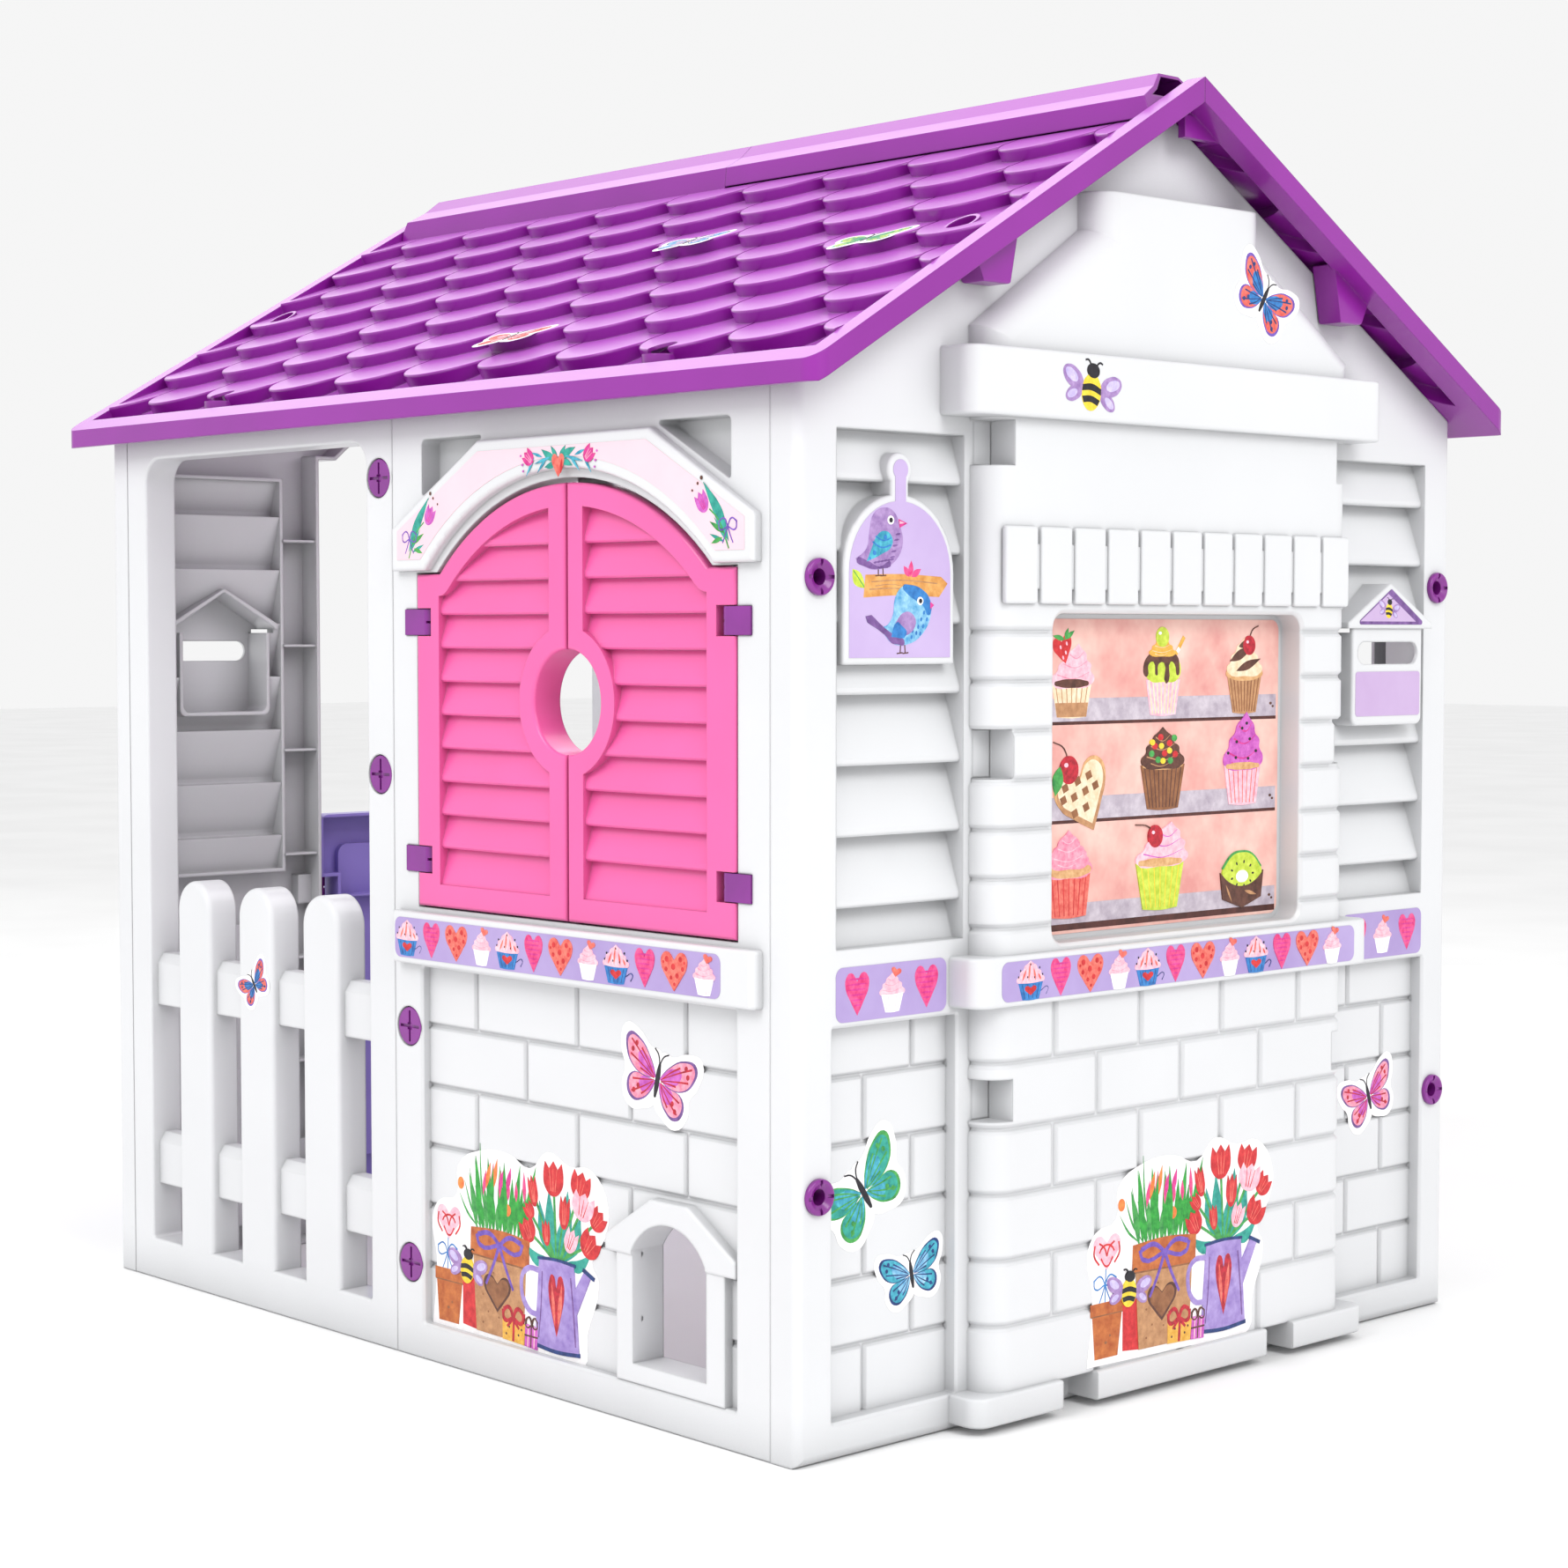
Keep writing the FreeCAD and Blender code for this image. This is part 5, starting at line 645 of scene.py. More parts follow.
def garden_print():
    """Flower pots and a watering can. The origin is the lower left corner."""
    greens, deep, tops, pinks = [], [], [], []
    for i in range(15):
        x = 55 + i * 5.0
        lean = (i - 7) * 1.1 + 4 * math.sin(i * 2.3)
        (greens if i % 3 else deep).append(blade(x * 0.9 + 8, 82, x + lean, 128 + 16 * math.sin(i * 1.9), 7,
            lean * 0.15))
    for i in range(5):
        deep.append(blade(60 + i * 3, 84, 34 + i * 7, 110 + i * 11, 2.0, 3))
    for i in range(6):
        tops.append(blade(70 + i * 9, 118, 76 + i * 9, 140 + 4 * math.sin(i * 2.0), 5))
        pinks.append(blade(66 + i * 11, 112, 70 + i * 10, 133 + 7 * math.sin(i * 1.4), 4))
    heads = ((158, 137, 25, 27, 0), (192, 136, 24, 22, -14), (172, 112, 13, 26, -4),
             (213, 112, 19, 18, -42), (132, 124, 11, 24, 12),
             (127, 108, 12, 14, 40), (125, 92, 19, 20, 28), (149, 93, 10, 20, 6), (203, 91, 24, 21, -38))
    pale = ((195, 120, 27, 22, -16), (180, 91, 16, 20, -24))
    stems, fronds, cups, cup_lines, pale_cups, pale_lines = [], [], [], [], [], []
    for x, y, w, h, angle in heads + pale:
        stems.append(stroke([(162 + (x - 162) * 0.15, 74), (162 + (x - 162) * 0.55, 74 + (y - 74) * 0.5),
                             (x, y)], 2.2))
    for x, y, w, h, angle in heads:
        cup, lines = tulip(x, y, w, h, angle)
        cups.append(cup)
        cup_lines += lines
    for x, y, w, h, angle in pale:
        cup, lines = tulip(x, y, w, h, angle)
        pale_cups.append(cup)
        pale_lines += lines
    for x, y, w, bend in ((140, 118, 12, 4), (152, 128, 13, 2), (176, 130, 15, -3), (192, 112, 14, -5),
                          (205, 84, 10, -6), (122, 80, 10, 6), (170, 108, 12, 0)):
        fronds.append(blade(162 + (x - 162) * 0.2, 72, x, y, w, bend))
    curls = [stroke([(19 + 9 * s * math.cos(t), 82 + 7 * math.sin(t)) for t in (0.2, 1.0, 1.8, 2.6)], 1.6)
             for s in (-1, 1)]
    return [
        ("blue", [stroke([(17, 44), (18, 72)], 1.2)]), ("pale_pink", [heart(19, 83, 34, 28)]),
        ("red", curls + [stroke([(5, 90), (4, 82), (10, 74)], 1.8),
                         stroke([(33, 90), (34, 82), (28, 74)], 1.8),
                         stroke([(10, 91), (16, 87), (19, 80)], 1.6),
                         stroke([(28, 91), (22, 87), (19, 80)], 1.6),
                         stroke([(12, 79), (19, 72), (26, 79)], 1.6)]),
        ("blue", bow(17, 58, 26, 14, 1.2, 16)),
        ("terracotta", [sharp((5, 0), (32, 0), (37, 34), (2, 34)),
                        sharp((0, 34), (39, 34), (39, 44), (0, 44))]),
        ("bark", [oval(18, 12, 1.6, 1.2), oval(23, 17, 1, 1), stroke([(1, 34), (38, 34)], 1.0)]),
        ("red", [[(38, 2, 1), (60, 0, 1), (60, 40, 1), (48, 42), (38, 38, 1)]]),
        ("leaf", deep), ("grass", greens), ("hot_pink", pinks),
            ("orange", tops[:2] + [oval(36, 118, 4, 5), oval(98, 104, 5, 5)]), ("magenta", tops[2:4]),
        ("grass", [blade(74, 84, 80, 138, 6), blade(96, 84, 94, 142, 6), blade(112, 84, 118, 124, 6)]),
        ("teal", fronds), ("leaf", stems), ("red", cups), ("coral", cup_lines), ("pale_pink", pale_cups),
            ("red", pale_lines),
        ("tan", [[(57, 0, 1), (118, -1, 1), (121, 40), (122, 64, 1), (53, 66, 1), (55, 30)]]),
        ("bark", [oval(66 + 7 * (i % 7), 8 + 9 * (i % 5) + i * 0.7, 1.1, 0.9) for i in range(12)]),
        ("terracotta", [[(49, 62, 1), (126, 60, 1), (127, 83, 1), (90, 86), (50, 84, 1)]]),
            ("bark", [stroke([(50, 62), (88, 61), (126, 60)], 1.4)]),
        ("chocolate", [heart(85, 34, 38, 30)]), ("bark", [heart(85, 34.5, 32, 25)]),
        ("violet", bow(88, 74, 60, 16, 3.6, 34)),
        ("can", [stroke([(141, 62), (122, 60), (117, 44), (126, 28), (137, 26)], 4.4),
                 [(182, 24, 1), (205, 66, 1), (197, 70, 1), (180, 46, 1)],
                 [(134, 2, 1), (162, 0), (190, 2, 1), (184, 72, 1), (162, 73), (140, 72, 1)]]),
        ("navy", [stroke([(133, 2), (162, 0), (191, 2)], 3.2),
                  stroke([(138, 72), (162, 73.5), (186, 72)], 2.4), stroke([(195, 71), (209, 65)], 3.0)]),
        ("plum", [stroke([(144, 62), (142, 30), (139, 8)], 1.2),
                  stroke([(180, 62), (184, 30), (186, 8)], 1.6)]),
        ("cherry", [heart(162, 37, 21, 50)]),
            ("coral", [blade(164, 20, 169, 56, 5), blade(160, 20, 156, 56, 4)]),
        ("amber", [sharp((92, -1), (120, -2), (122, 15), (92, 16))]),
            ("cherry", [stroke([(106, -1), (107, 16)], 3.0)] + bow(106, 18, 26, 16, 3.2, 8)),
        ("chocolate", [oval(97, 4, 1, 1), oval(101, 10, 1, 1), oval(113, 5, 1, 1), oval(117, 10, 1, 1)]),
        ("orchid", [sharp((121, -2), (137, -3), (138, 15), (122, 16))]),
            ("pale_pink", [stroke([(125, -2), (126, 15)], 1.4), stroke([(133, -2), (134, 15)], 1.4)]),
        ("chocolate", [stroke([(129, -2), (130, 15)], 1.6),
                       stroke([(121, 7), (138, 7)], 1.4)] + bow(130, 16, 15, 12, 1.2, 3)),
    ] + bee(45, 50, 52, -6)


GARDEN_BACKING = [(-4, -5, 1), (120, -7), (196, -6), (200, 20), (214, 64), (206, 78), (222, 100),
                  (226, 124), (206, 150), (178, 150), (150, 158), (128, 142),
                  (100, 150), (62, 148), (32, 132), (30, 108), (6, 100), (-4, 84), (2, 50)]


# ================================================================= making and sticking prints

def clear_selection():
    bpy.ops.object.select_all(action="DESELECT")


def film(name, outlines, thickness, material):
    """Flat outlines filled as one thin sheet, lying on z = 0."""
    clear_selection()
    bpy.ops.curve.primitive_bezier_circle_add(radius=1.0, location=(0, 0, 0))
    piece = bpy.context.object
    piece.name = name
    curve = piece.data
    curve.splines.clear()
    curve.dimensions = "2D"
    curve.fill_mode = "BOTH"
    curve.resolution_u = 4
    curve.extrude = thickness * MM / 2
    for loop in outlines:
        spline = curve.splines.new("BEZIER")
        spline.bezier_points.add(len(loop) - 1)
        spline.use_cyclic_u = True
        for knot, point in zip(spline.bezier_points, loop):
            knot.co = (point[0] * MM, point[1] * MM, 0)
            kind = "VECTOR" if len(point) > 2 else "AUTO"
            knot.handle_left_type = kind
            knot.handle_right_type = kind
    curve.materials.append(material)
    bpy.ops.object.convert(target="MESH")
    bpy.ops.transform.translate(value=(0, 0, thickness * MM / 2))
    bpy.ops.object.transform_apply(location=True, rotation=False, scale=False)
    return bpy.context.object


def apart(loops):
    """Sort outlines into groups whose boxes don't overlap, because crossing outlines would cut holes."""
    groups = []
    for loop in loops:
        xs, ys = [p[0] for p in loop], [p[1] for p in loop]
        spread = 0.15 * max(max(xs) - min(xs), max(ys) - min(ys))
        box = (min(xs) - spread, max(xs) + spread, min(ys) - spread, max(ys) + spread)
        for boxes, members in groups:
            if all(box[1] < b[0] or box[0] > b[1] or box[3] < b[2] or box[2] > b[3] for b in boxes):
                boxes.append(box)
                members.append(loop)
                break
        else:
            groups.append(([box], [loop]))
    return [members for boxes, members in groups]


def printed(name, layers, start=0.06, step=0.010):
    """Artwork as one mesh: each layer is a film a little higher than the one before."""
    films = []
    height = start
    for ink_name, loops in layers:
        for group in apart(loops):
            films.append(film(name + "_layer", group, height, ink(ink_name)))
            height += step
    clear_selection()
    for piece in films:
        piece.select_set(True)
    bpy.context.view_layer.objects.active = films[0]
    bpy.ops.object.join()
    art = bpy.context.object
    art.name = name
    return art


WALLS = {"front": (0, "y", -1), "chimney": (90, "x", 1), "back": (180, "y", 1), "doorway": (270, "x", -1)}


def stick(art, name, wall, u, z, face, body="house"):
    """Copy artwork onto a wall. u runs right as seen from outside, and face is the world coordinate
    of the surface."""
    turn, axis, sign = WALLS[wall]
    clear_selection()
    art.select_set(True)
    bpy.context.view_layer.objects.active = art
    bpy.ops.object.duplicate(linked=False)
    piece = bpy.context.object
    piece.name = name
    spin = Matrix.Rotation(math.radians(turn), 4, "Z")
    spot = spin @ Vector((u, 0, z))
    spot[0 if axis == "x" else 1] = face
    piece.matrix_world = Matrix.Translation(spot) @ spin @ Matrix.Rotation(math.radians(90), 4, "X")
    bpy.ops.object.transform_apply(location=True, rotation=True, scale=True)
    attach(piece, body)
    return piece


ROOF_PITCH = math.radians(30.2)
RIDGE_CAP = 6 * MM            # height of the ridge cap over the plane of the tiles


def stick_on_roof(art, name, x, slope):
    """Lay artwork on the front roof at a place along the ridge and a distance down the slope from it."""
    outward = Vector((0, -math.sin(ROOF_PITCH), math.cos(ROOF_PITCH)))
    ridge = HIGH["roof_front"].z - RIDGE_CAP
    start = Vector((x, -slope * math.cos(ROOF_PITCH), ridge - slope * math.sin(ROOF_PITCH))) + outward * 0.1
    found, spot, normal, index = NODES["roof_front"].ray_cast(start, -outward)
    if not found:
        raise RuntimeError("no roof under " + name)
    across = Vector((1, 0, 0))
    up = normal.cross(across).normalized()
    frame_of_tile = Matrix((across, up, normal)).transposed().to_4x4()
    art.name = name
    art.matrix_world = Matrix.Translation(spot) @ frame_of_tile
    clear_selection()
    art.select_set(True)
    bpy.context.view_layer.objects.active = art
    bpy.ops.object.transform_apply(location=True, rotation=True, scale=True)
    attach(art, "house")


def discard(art):
    clear_selection()
    art.select_set(True)
    bpy.ops.object.delete()


# ================================================================= settings

class PlayhouseFinish(bpy.types.PropertyGroup):
    """Colours and print sizes of the playhouse."""
    wall_white: FloatVectorProperty(name="Wall white", description="Colour of the wall mouldings",
                                    subtype="COLOR",
                                    size=4, min=0, max=1, default=linear("DFE0E2"))
    roof_purple: FloatVectorProperty(name="Roof purple", description="Colour of the roof mouldings",
                                     subtype="COLOR",
                                     size=4, min=0, max=1, default=linear("8E1499"))
    shutter_pink: FloatVectorProperty(name="Shutter pink", description="Colour of the shutters",
                                      subtype="COLOR",
                                      size=4, min=0, max=1, default=linear("F062A8"))
    fitting_violet: FloatVectorProperty(name="Fitting violet",
                                        description="Colour of screws, bolts and hinge clips",
                                        subtype="COLOR", size=4, min=0, max=1, default=linear("86208F"))
    door_violet: FloatVectorProperty(name="Door violet", description="Colour of the half door",
                                     subtype="COLOR",
                                     size=4, min=0, max=1, default=linear("9886DA"))
    edge_round: FloatProperty(name="Edge rounding", description="Radius that moulded edges show",
                              unit="LENGTH",
                              default=0.0030, min=0, max=0.01)
    motif_height: FloatProperty(name="Band motif height",
                                description="Height of hearts and cakes on the bands",
                                unit="LENGTH", default=0.0295, min=0.01, max=0.05)
    motif_pitch: FloatProperty(name="Band motif pitch", description="Distance between motifs on the bands",
                               unit="LENGTH", default=0.0338, min=0.01, max=0.1)
    key_power: FloatProperty(name="Key lamp", description="Power of the main softbox", unit="POWER",
                             default=46.0, min=0)
    fill_power: FloatProperty(name="Fill lamp", description="Power of the fill softbox", unit="POWER",
                              default=48.0, min=0)
    top_power: FloatProperty(name="Top lamp", description="Power of the softbox over the roof",
                             unit="POWER", default=18.0, min=0)
    cabin_power: FloatProperty(name="Cabin lamp", description="Power of the soft lamp inside", unit="POWER",
                               default=2.2, min=0)
    sky_strength: FloatProperty(name="Sky", description="Strength of the even studio light", default=0.92,
                                min=0)


def settings():
    return bpy.context.scene.playhouse


# ================================================================= operators

def darker(colour, share):
    return (*[c * share for c in colour[:3]], 1.0)


class PLAYHOUSE_OT_walls(bpy.types.Operator):
    """Finish the six wall mouldings in white plastic"""
    bl_idname = "playhouse.walls"
    bl_label = "Walls"

    def execute(self, context):
        white = tuple(settings().wall_white)
        # The last argument is the share of painted shade in grooves.
        plastic = moulded_plastic("blow_moulded_white_polyethylene", white, darker(white, 0.97), 0.36, 0.15,
                                  settings().edge_round / MM, 160.0, 0.34)
        for node in ("front_fence_panel", "front_window_panel", "back_fence_panel", "back_window_panel",
                     "chimney_gable",
                     "doorway_gable"):
            finish(node, plastic)
        return {"FINISHED"}


class PLAYHOUSE_OT_roof(bpy.types.Operator):
    """Finish both roof halves in glossy purple plastic"""
    bl_idname = "playhouse.roof"
    bl_label = "Roof"

    def execute(self, context):
        purple = tuple(settings().roof_purple)
        # The pale lilac C868D6 is painted sheen on faces turned up; 0.25 is the share of painted shade in
        # grooves.
        plastic = moulded_plastic("blow_moulded_purple_polyethylene", purple, darker(purple, 0.9), 0.30,
                                  0.3, 1.6, 120.0,
                                  0.25, linear("C868D6"))
        for node in ("roof_front", "roof_back"):
            finish(node, plastic)
        return {"FINISHED"}


class PLAYHOUSE_OT_leaves(bpy.types.Operator):
    """Finish the shutters in pink and the half door in violet plastic"""
    bl_idname = "playhouse.leaves"
    bl_label = "Shutters and door"

    def execute(self, context):
        pink = tuple(settings().shutter_pink)
        violet = tuple(settings().door_violet)
        # The last arguments are the shares of painted shade in grooves.
        pink_plastic = moulded_plastic("injection_moulded_pink_polypropylene", pink, darker(pink, 0.95),
                                       0.34, 0.2, 1.6, 90.0, 0.30)
        door_plastic = moulded_plastic("injection_moulded_violet_polypropylene", violet,
                                       darker(violet, 0.9), 0.36, 0.2, 1.4, 90.0, 0.20)
        for node in ("front_left_shutter", "front_right_shutter", "back_left_shutter",
                     "back_right_shutter"):
            finish(node, pink_plastic)
        finish("half_door", door_plastic)
        return {"FINISHED"}


class PLAYHOUSE_OT_fittings(bpy.types.Operator):
    """Finish clips, screws, bolts and nuts"""
    bl_idname = "playhouse.fittings"
    bl_label = "Fittings"

    def execute(self, context):
        violet = tuple(settings().fitting_violet)
        # The last argument is the share of painted shade in grooves.
        plastic = moulded_plastic("injection_moulded_purple_nylon", violet, darker(violet, 0.85), 0.30, 0.3,
                                  0.5, 30.0, 0.30)
        for node in NODES:
            if node.endswith(("_clips", "_screws", "_bolts", "_nuts")):
                finish(node, plastic)
        return {"FINISHED"}


class PLAYHOUSE_OT_label_films(bpy.types.Operator):
    """Colour the plain films that carry the prints"""
    bl_idname = "playhouse.label_films"
    bl_label = "Label films"

    def execute(self, context):
        for node, name in (("sill_labels", "lilac"), ("shelf_label", "lilac"), ("belt_labels", "lilac"),
                           ("header_labels", "blush"),
                           ("birdcage_labels", "cage_lilac"), ("mailbox_roof_labels", "plum"),
                           ("mailbox_plate_labels", "plate_lilac"),
                           ("display_card", "peach")):
            finish(node, ink(name))
        return {"FINISHED"}


# Where the middle of a print is, in millimetres in from the outer end of its label.
SILL_MIDDLE = 203.0
BELT_MIDDLE = 57.0
HEADER_MIDDLE = 213.5
BIRDCAGE_MIDDLE = 52.0
LETTER_BOX_MIDDLE = 49.5
HEADER_FOOT = 662.0           # height of the header board's foot, which its outlines start from


class PLAYHOUSE_OT_bands(bpy.types.Operator):
    """Print hearts and cakes along the sill, shelf and belt bands"""
    bl_idname = "playhouse.bands"
    bl_label = "Band prints"

    def execute(self, context):
        height, pitch = settings().motif_height / MM, settings().motif_pitch / MM
        long_band = printed("band_print", band(12, pitch, height,
                                               (blue_cup, striped_heart, dotted_heart, pink_cup)))
        short_band = printed("belt_print", band(3, pitch * 1.06, height * 1.08, (striped_heart, pink_cup)))
        low, high = LOW["shelf_label"], HIGH["shelf_label"]
        stick(long_band, "shelf_print", "chimney", 0.0, (low.z + high.z) / 2, high.x)
        low, high = LOW["sill_labels"], HIGH["sill_labels"]
        for wall, sign, face in (("front", 1, low.y), ("back", 1, high.y)):
            stick(long_band, wall + "_sill_print", wall, high.x - SILL_MIDDLE * MM, (low.z + high.z) / 2,
                  face)
        low, high = LOW["belt_labels"], HIGH["belt_labels"]
        centre = high.y - BELT_MIDDLE * MM
        for wall, face in (("chimney", high.x), ("doorway", low.x)):
            for side in (-1, 1):
                name = wall + ("_left" if side < 0 else "_right") + "_belt_print"
                stick(short_band, name, wall, side * centre, (low.z + high.z) / 2, face)
        discard(long_band)
        discard(short_band)
        return {"FINISHED"}


class PLAYHOUSE_OT_headers(bpy.types.Operator):
    """Print sprigs and a heart on the header boards"""
    bl_idname = "playhouse.headers"
    bl_label = "Header prints"

    def execute(self, context):
        art = printed("header_art", header_print())
        low, high = LOW["header_labels"], HIGH["header_labels"]
        centre = high.x - HEADER_MIDDLE * MM
        lift = low.z - HEADER_FOOT * MM
        stick(art, "front_header_print", "front", centre, lift, low.y)
        stick(art, "back_header_print", "back", centre, lift, high.y)
        discard(art)
        return {"FINISHED"}


class PLAYHOUSE_OT_birdcages(bpy.types.Operator):
    """Print two birds on each birdcage plaque"""
    bl_idname = "playhouse.birdcages"
    bl_label = "Birdcage prints"

    def execute(self, context):
        art = printed("birdcage_art", birdcage_print())
        low, high = LOW["birdcage_labels"], HIGH["birdcage_labels"]
        centre = -(high.y - BIRDCAGE_MIDDLE * MM)
        stick(art, "chimney_birdcage_print", "chimney", centre, low.z, high.x)
        stick(art, "doorway_birdcage_print", "doorway", centre, low.z, low.x)
        discard(art)
        return {"FINISHED"}


class PLAYHOUSE_OT_mailboxes(bpy.types.Operator):
    """Print a lilac gable and a bee on each letter box roof"""
    bl_idname = "playhouse.mailboxes"
    bl_label = "Letter box prints"

    def execute(self, context):
        low, high = LOW["mailbox_roof_labels"], HIGH["mailbox_roof_labels"]
        tall = (high.z - low.z) / MM
        layers = [("plate_lilac", [sharp((-40, 2.6), (40, 2.6),
                                         (0, tall - 4.0))])] + bee(1, tall * 0.44, 30, -8)
        art = printed("letter_box_art", layers)
        centre = high.y - LETTER_BOX_MIDDLE * MM
        stick(art, "chimney_letter_box_print", "chimney", centre, low.z, high.x)
        stick(art, "doorway_letter_box_print", "doorway", centre, low.z, low.x)
        discard(art)
        return {"FINISHED"}


class PLAYHOUSE_OT_display(bpy.types.Operator):
    """Print shelves of cakes on the display card"""
    bl_idname = "playhouse.display"
    bl_label = "Display print"

    def execute(self, context):
        art = printed("display_art", display_print())
        low, high = LOW["display_card"], HIGH["display_card"]
        stick(art, "display_print", "chimney", 0.0, (low.z + high.z) / 2, high.x)
        discard(art)
        return {"FINISHED"}


# Distance of faces from the middle of the house, in millimetres.
GABLE_FACE = 472.5
FRONT_FACE = 396.0
BREAST_FACE = GABLE_FACE + 25.0
MANTEL_FACE = GABLE_FACE + 34.0
BRICK_FACE = FRONT_FACE - 8.0
SIDE_BRICK_FACE = GABLE_FACE - 12.0
STICKER_BACKING = 0.25        # thickness of the white sheet under a sticker


class PLAYHOUSE_OT_garden_stickers(bpy.types.Operator):
    """Stick the flower-pot pictures on the brickwork"""
    bl_idname = "playhouse.garden_stickers"
    bl_label = "Garden stickers"

    def execute(self, context):
        art = printed("garden_art", [("white", [GARDEN_BACKING])] + garden_print(), STICKER_BACKING)
        stick(art, "front_garden_sticker", "front", 24 * MM, 34 * MM, -BRICK_FACE * MM)
        stick(art, "chimney_garden_sticker", "chimney", -108 * MM, 36 * MM, BREAST_FACE * MM)
        discard(art)
        return {"FINISHED"}


class PLAYHOUSE_OT_butterfly_stickers(bpy.types.Operator):
    """Stick the butterflies on walls and fence"""
    bl_idname = "playhouse.butterfly_stickers"
    bl_label = "Butterfly stickers"

    def execute(self, context):
        spots = (
            ("front_brick_butterfly", "front", 309, 264, -BRICK_FACE, 82, -14, "plum", "pink", "orchid",
             "cherry"),
            ("fence_butterfly", "front", -234.7, 290, -FRONT_FACE, 46, 34, "violet", "coral", "blue",
             "navy"),
            ("hood_butterfly", "chimney", 97, 872, BREAST_FACE, 70, -32, "violet", "coral", "blue", "navy"),
            ("side_brick_teal_butterfly", "chimney", -318, 190, SIDE_BRICK_FACE, 84, 34, "leaf", "teal",
             "sea", "leaf"),
            ("side_brick_blue_butterfly", "chimney", -268, 122, SIDE_BRICK_FACE, 62, 10, "navy", "sea",
             "sky", "navy"),
            ("side_brick_pink_butterfly", "chimney", 300, 196, SIDE_BRICK_FACE, 70, 18, "plum", "pink",
             "orchid", "cherry"),
        )
        for name, wall, u, z, face, span, angle, edge, wing, glow, spot in spots:
            layers = butterfly_backing(span, angle) + butterfly(0, 0, span, angle, edge, wing, glow, spot)
            art = printed(name + "_art", layers, STICKER_BACKING)
            stick(art, name, wall, u * MM, z * MM, face * MM)
            discard(art)
        return {"FINISHED"}


class PLAYHOUSE_OT_roof_stickers(bpy.types.Operator):
    """Stick three butterflies on the front roof tiles"""
    bl_idname = "playhouse.roof_stickers"
    bl_label = "Roof stickers"

    def execute(self, context):
        for name, x, slope, edge, wing, glow, spot in (
                ("roof_pink_butterfly", 56, 382, "cherry", "coral", "pale_pink", "cherry"),
                ("roof_blue_butterfly", 107, 208, "navy", "sky", "pale_pink", "blue"),
                ("roof_green_butterfly", 366, 259, "teal", "lime", "leaf", "teal")):
            layers = butterfly_backing(62, 12) + butterfly(0, 0, 62, 12, edge, wing, glow, spot)
            art = printed(name + "_art", layers, STICKER_BACKING)
            stick_on_roof(art, name, x * MM, slope * MM)
        return {"FINISHED"}


class PLAYHOUSE_OT_bee_stickers(bpy.types.Operator):
    """Stick the bee on the mantel"""
    bl_idname = "playhouse.bee_stickers"
    bl_label = "Bee sticker"

    def execute(self, context):
        art = printed("bee_art", bee(0, 0, 66, -8), STICKER_BACKING)
        stick(art, "mantel_bee", "chimney", -122 * MM, 788 * MM, MANTEL_FACE * MM)
        discard(art)
        return {"FINISHED"}


FLOOR_SIZE = 40.0
FLOOR_LEVEL = -0.0005         # a hair below the feet, so that they don't flicker with it
CAMERA_PLACE = (2.0185, -1.8370, 0.6007)
CAMERA_TILT = 90 - 2.87       # degrees from straight down
CAMERA_HEADING = 47.27        # degrees
CAMERA_LENS = 68.35           # millimetres, on a 36 mm sensor


class PLAYHOUSE_OT_stage(bpy.types.Operator):
    """Pale floor, soft studio light and the camera"""
    bl_idname = "playhouse.stage"
    bl_label = "Stage"

    def execute(self, context):
        scene = bpy.context.scene
        clear_selection()
        bpy.ops.mesh.primitive_plane_add(size=FLOOR_SIZE, location=(0, 0, FLOOR_LEVEL))
        floor = bpy.context.object
        floor.name = "studio_floor"
        floor.data.materials.append(floor_paint())
        world = bpy.data.worlds.new("studio_sky")
        scene.world = world
        world.use_nodes = True
        world.node_tree.nodes.clear()
        sky = add_node(world.node_tree, "ShaderNodeBackground",
                       {"Color": (1, 1, 1, 1), "Strength": settings().sky_strength})
        add_node(world.node_tree, "ShaderNodeOutputWorld", {}, {"Surface": sky.outputs["Background"]})
        softbox("key_softbox", (0.3, -3.0, 2.9), (0.0, -0.3, 0.5), 1.6, settings().key_power)
        softbox("fill_softbox", (3.2, -0.6, 2.7), (0.4, 0.0, 0.5), 1.6, settings().fill_power)
        softbox("top_softbox", (-2.3, 1.5, 3.1), (0.0, -0.2, 0.9), 3.0, settings().top_power)
        softbox("cabin_softbox", (0.0, 0.0, 0.86), (0.0, 0.0, 0.0), 0.5, settings().cabin_power)
        bpy.ops.object.camera_add(location=CAMERA_PLACE)
        camera = bpy.context.object
        camera.name = "studio_camera"
        camera.rotation_euler = (math.radians(CAMERA_TILT), 0, math.radians(CAMERA_HEADING))
        camera.data.lens = CAMERA_LENS
        camera.data.sensor_width = 36.0
        camera.data.dof.use_dof = False
        scene.camera = camera
        scene.view_settings.view_transform = "Standard"
        return {"FINISHED"}


def softbox(name, place, target, size, power):
    """Square soft lamp that faces a point."""
    bpy.ops.object.light_add(type="AREA", location=place)
    lamp = bpy.context.object
    lamp.name = name
    lamp.data.shape = "SQUARE"
    lamp.data.size = size
    lamp.data.energy = power
    lamp.visible_camera = False
    lamp.rotation_euler = (Vector(target) - Vector(place)).to_track_quat("-Z", "Y").to_euler()


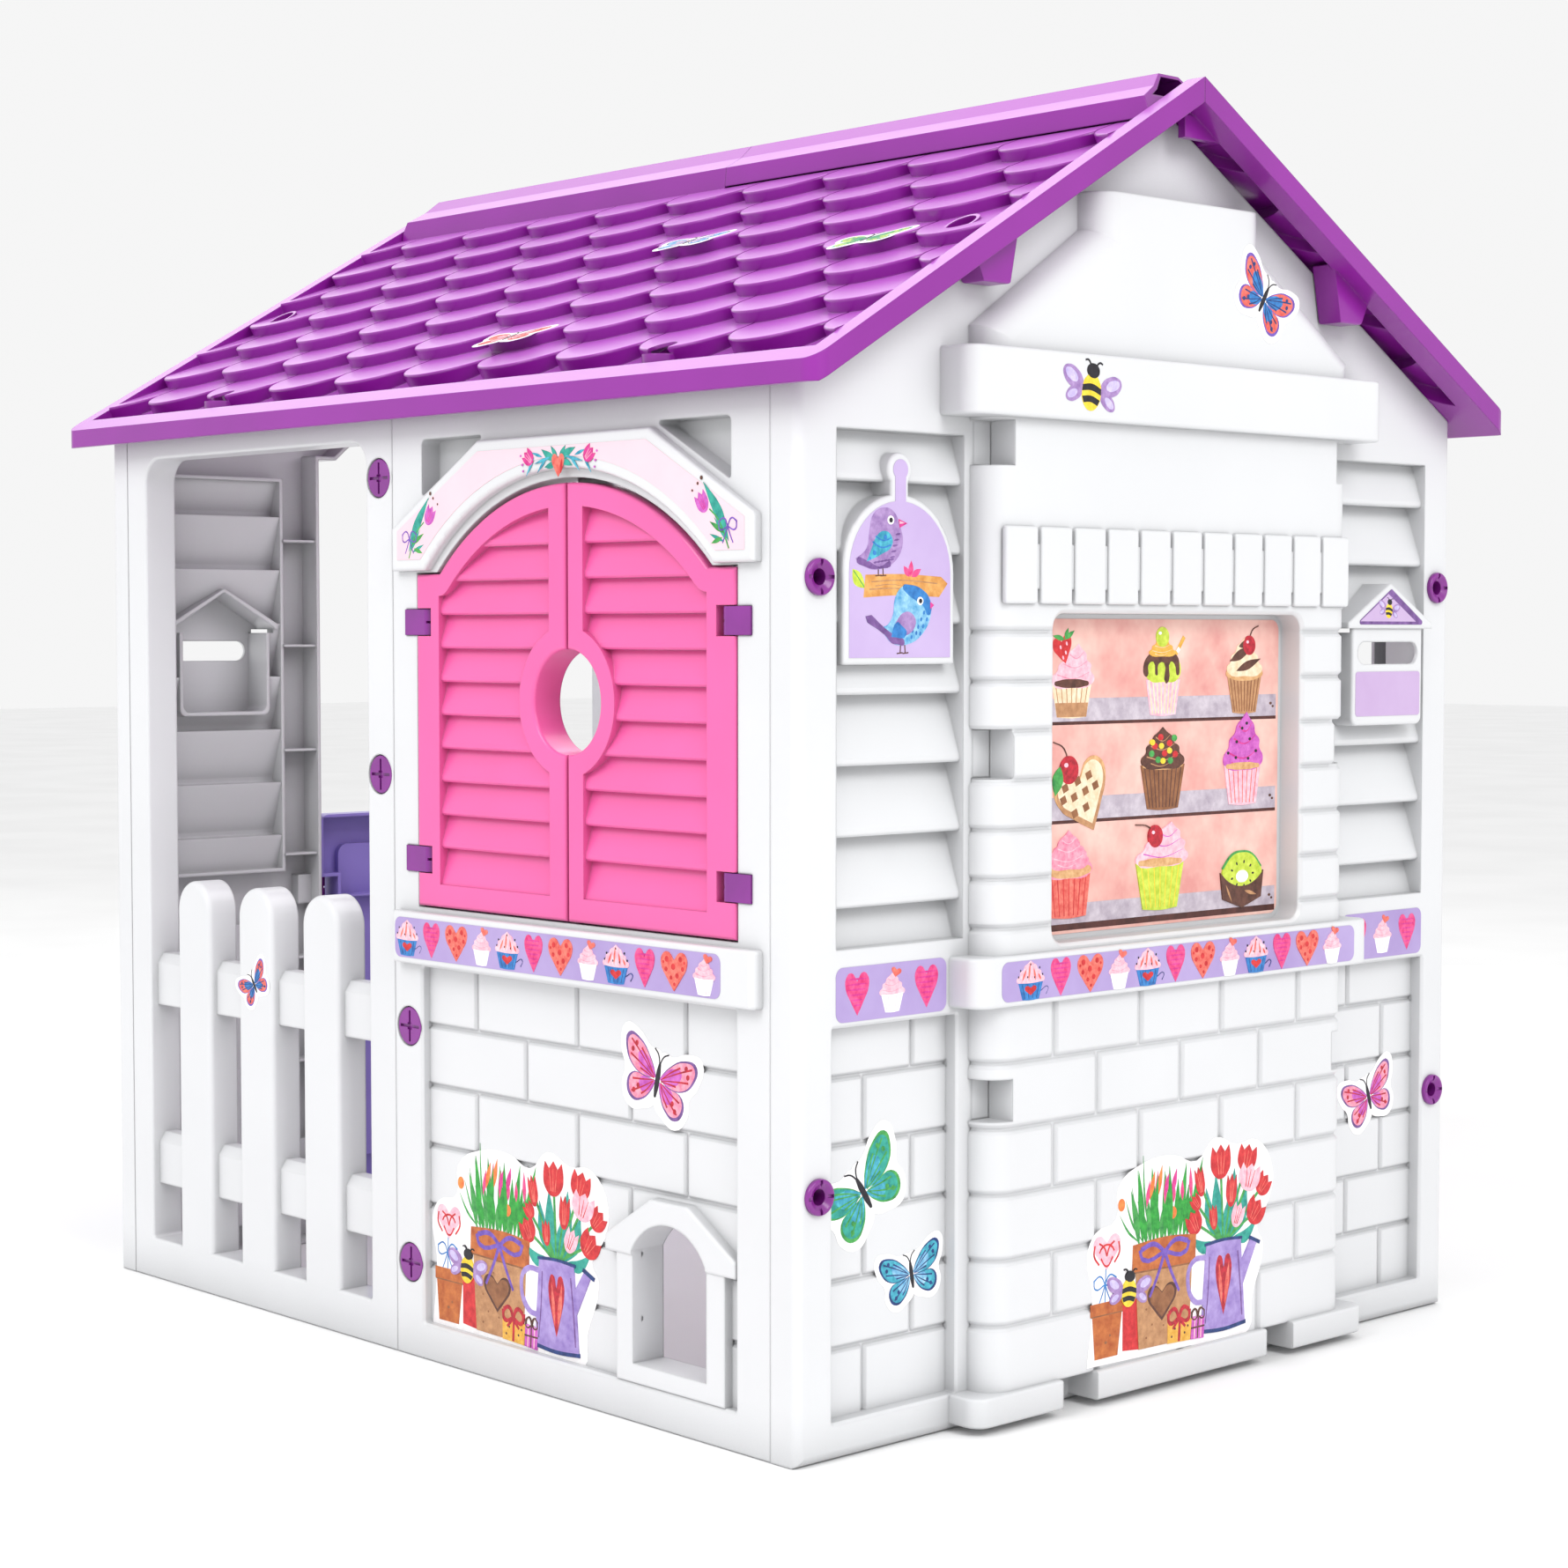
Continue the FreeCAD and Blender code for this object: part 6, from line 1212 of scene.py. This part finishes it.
def floor_paint():
    """Matt white studio floor: even, with a trace of mottling so that it doesn't look cut out."""
    material, tree = new_material("matt_white_studio_floor")
    place = add_node(tree, "ShaderNodeTexCoord").outputs["Object"]
    mottle = grain(tree, place, 400.0, 2.0)
    shader = add_node(tree, "ShaderNodeBsdfPrincipled", {"Roughness": 0.75, "IOR": 1.45},
                      {"Base Color": two_tone(tree, mottle.outputs["Fac"], linear("F4F4F4"),
                                              linear("F8F8F8"))})
    add_node(tree, "ShaderNodeOutputMaterial", {}, {"Surface": shader.outputs["BSDF"]})
    return material


class PLAYHOUSE_PT_panel(bpy.types.Panel):
    """Playhouse settings and steps"""
    bl_label = "Playhouse"
    bl_idname = "PLAYHOUSE_PT_panel"
    bl_space_type = "VIEW_3D"
    bl_region_type = "UI"
    bl_category = "Playhouse"

    def draw(self, context):
        values = context.scene.playhouse
        for key in PlayhouseFinish.__annotations__:
            self.layout.prop(values, key)
        for step in STEPS:
            self.layout.operator(step.bl_idname)


STEPS = (PLAYHOUSE_OT_stage, PLAYHOUSE_OT_walls, PLAYHOUSE_OT_roof, PLAYHOUSE_OT_leaves,
         PLAYHOUSE_OT_fittings,
         PLAYHOUSE_OT_label_films, PLAYHOUSE_OT_bands, PLAYHOUSE_OT_headers, PLAYHOUSE_OT_birdcages,
         PLAYHOUSE_OT_mailboxes,
         PLAYHOUSE_OT_display, PLAYHOUSE_OT_garden_stickers, PLAYHOUSE_OT_butterfly_stickers,
         PLAYHOUSE_OT_bee_stickers,
         PLAYHOUSE_OT_roof_stickers)
CLASSES = (PlayhouseFinish,) + STEPS + (PLAYHOUSE_PT_panel,)


def register():
    for item in CLASSES:
        bpy.utils.register_class(item)
    bpy.types.Scene.playhouse = PointerProperty(type=PlayhouseFinish)


def unregister():
    del bpy.types.Scene.playhouse
    for item in reversed(CLASSES):
        bpy.utils.unregister_class(item)


def main():
    register()
    for step in STEPS:
        group, name = step.bl_idname.split(".")
        getattr(getattr(bpy.ops, group), name)()


if __name__ == "__main__":
    main()
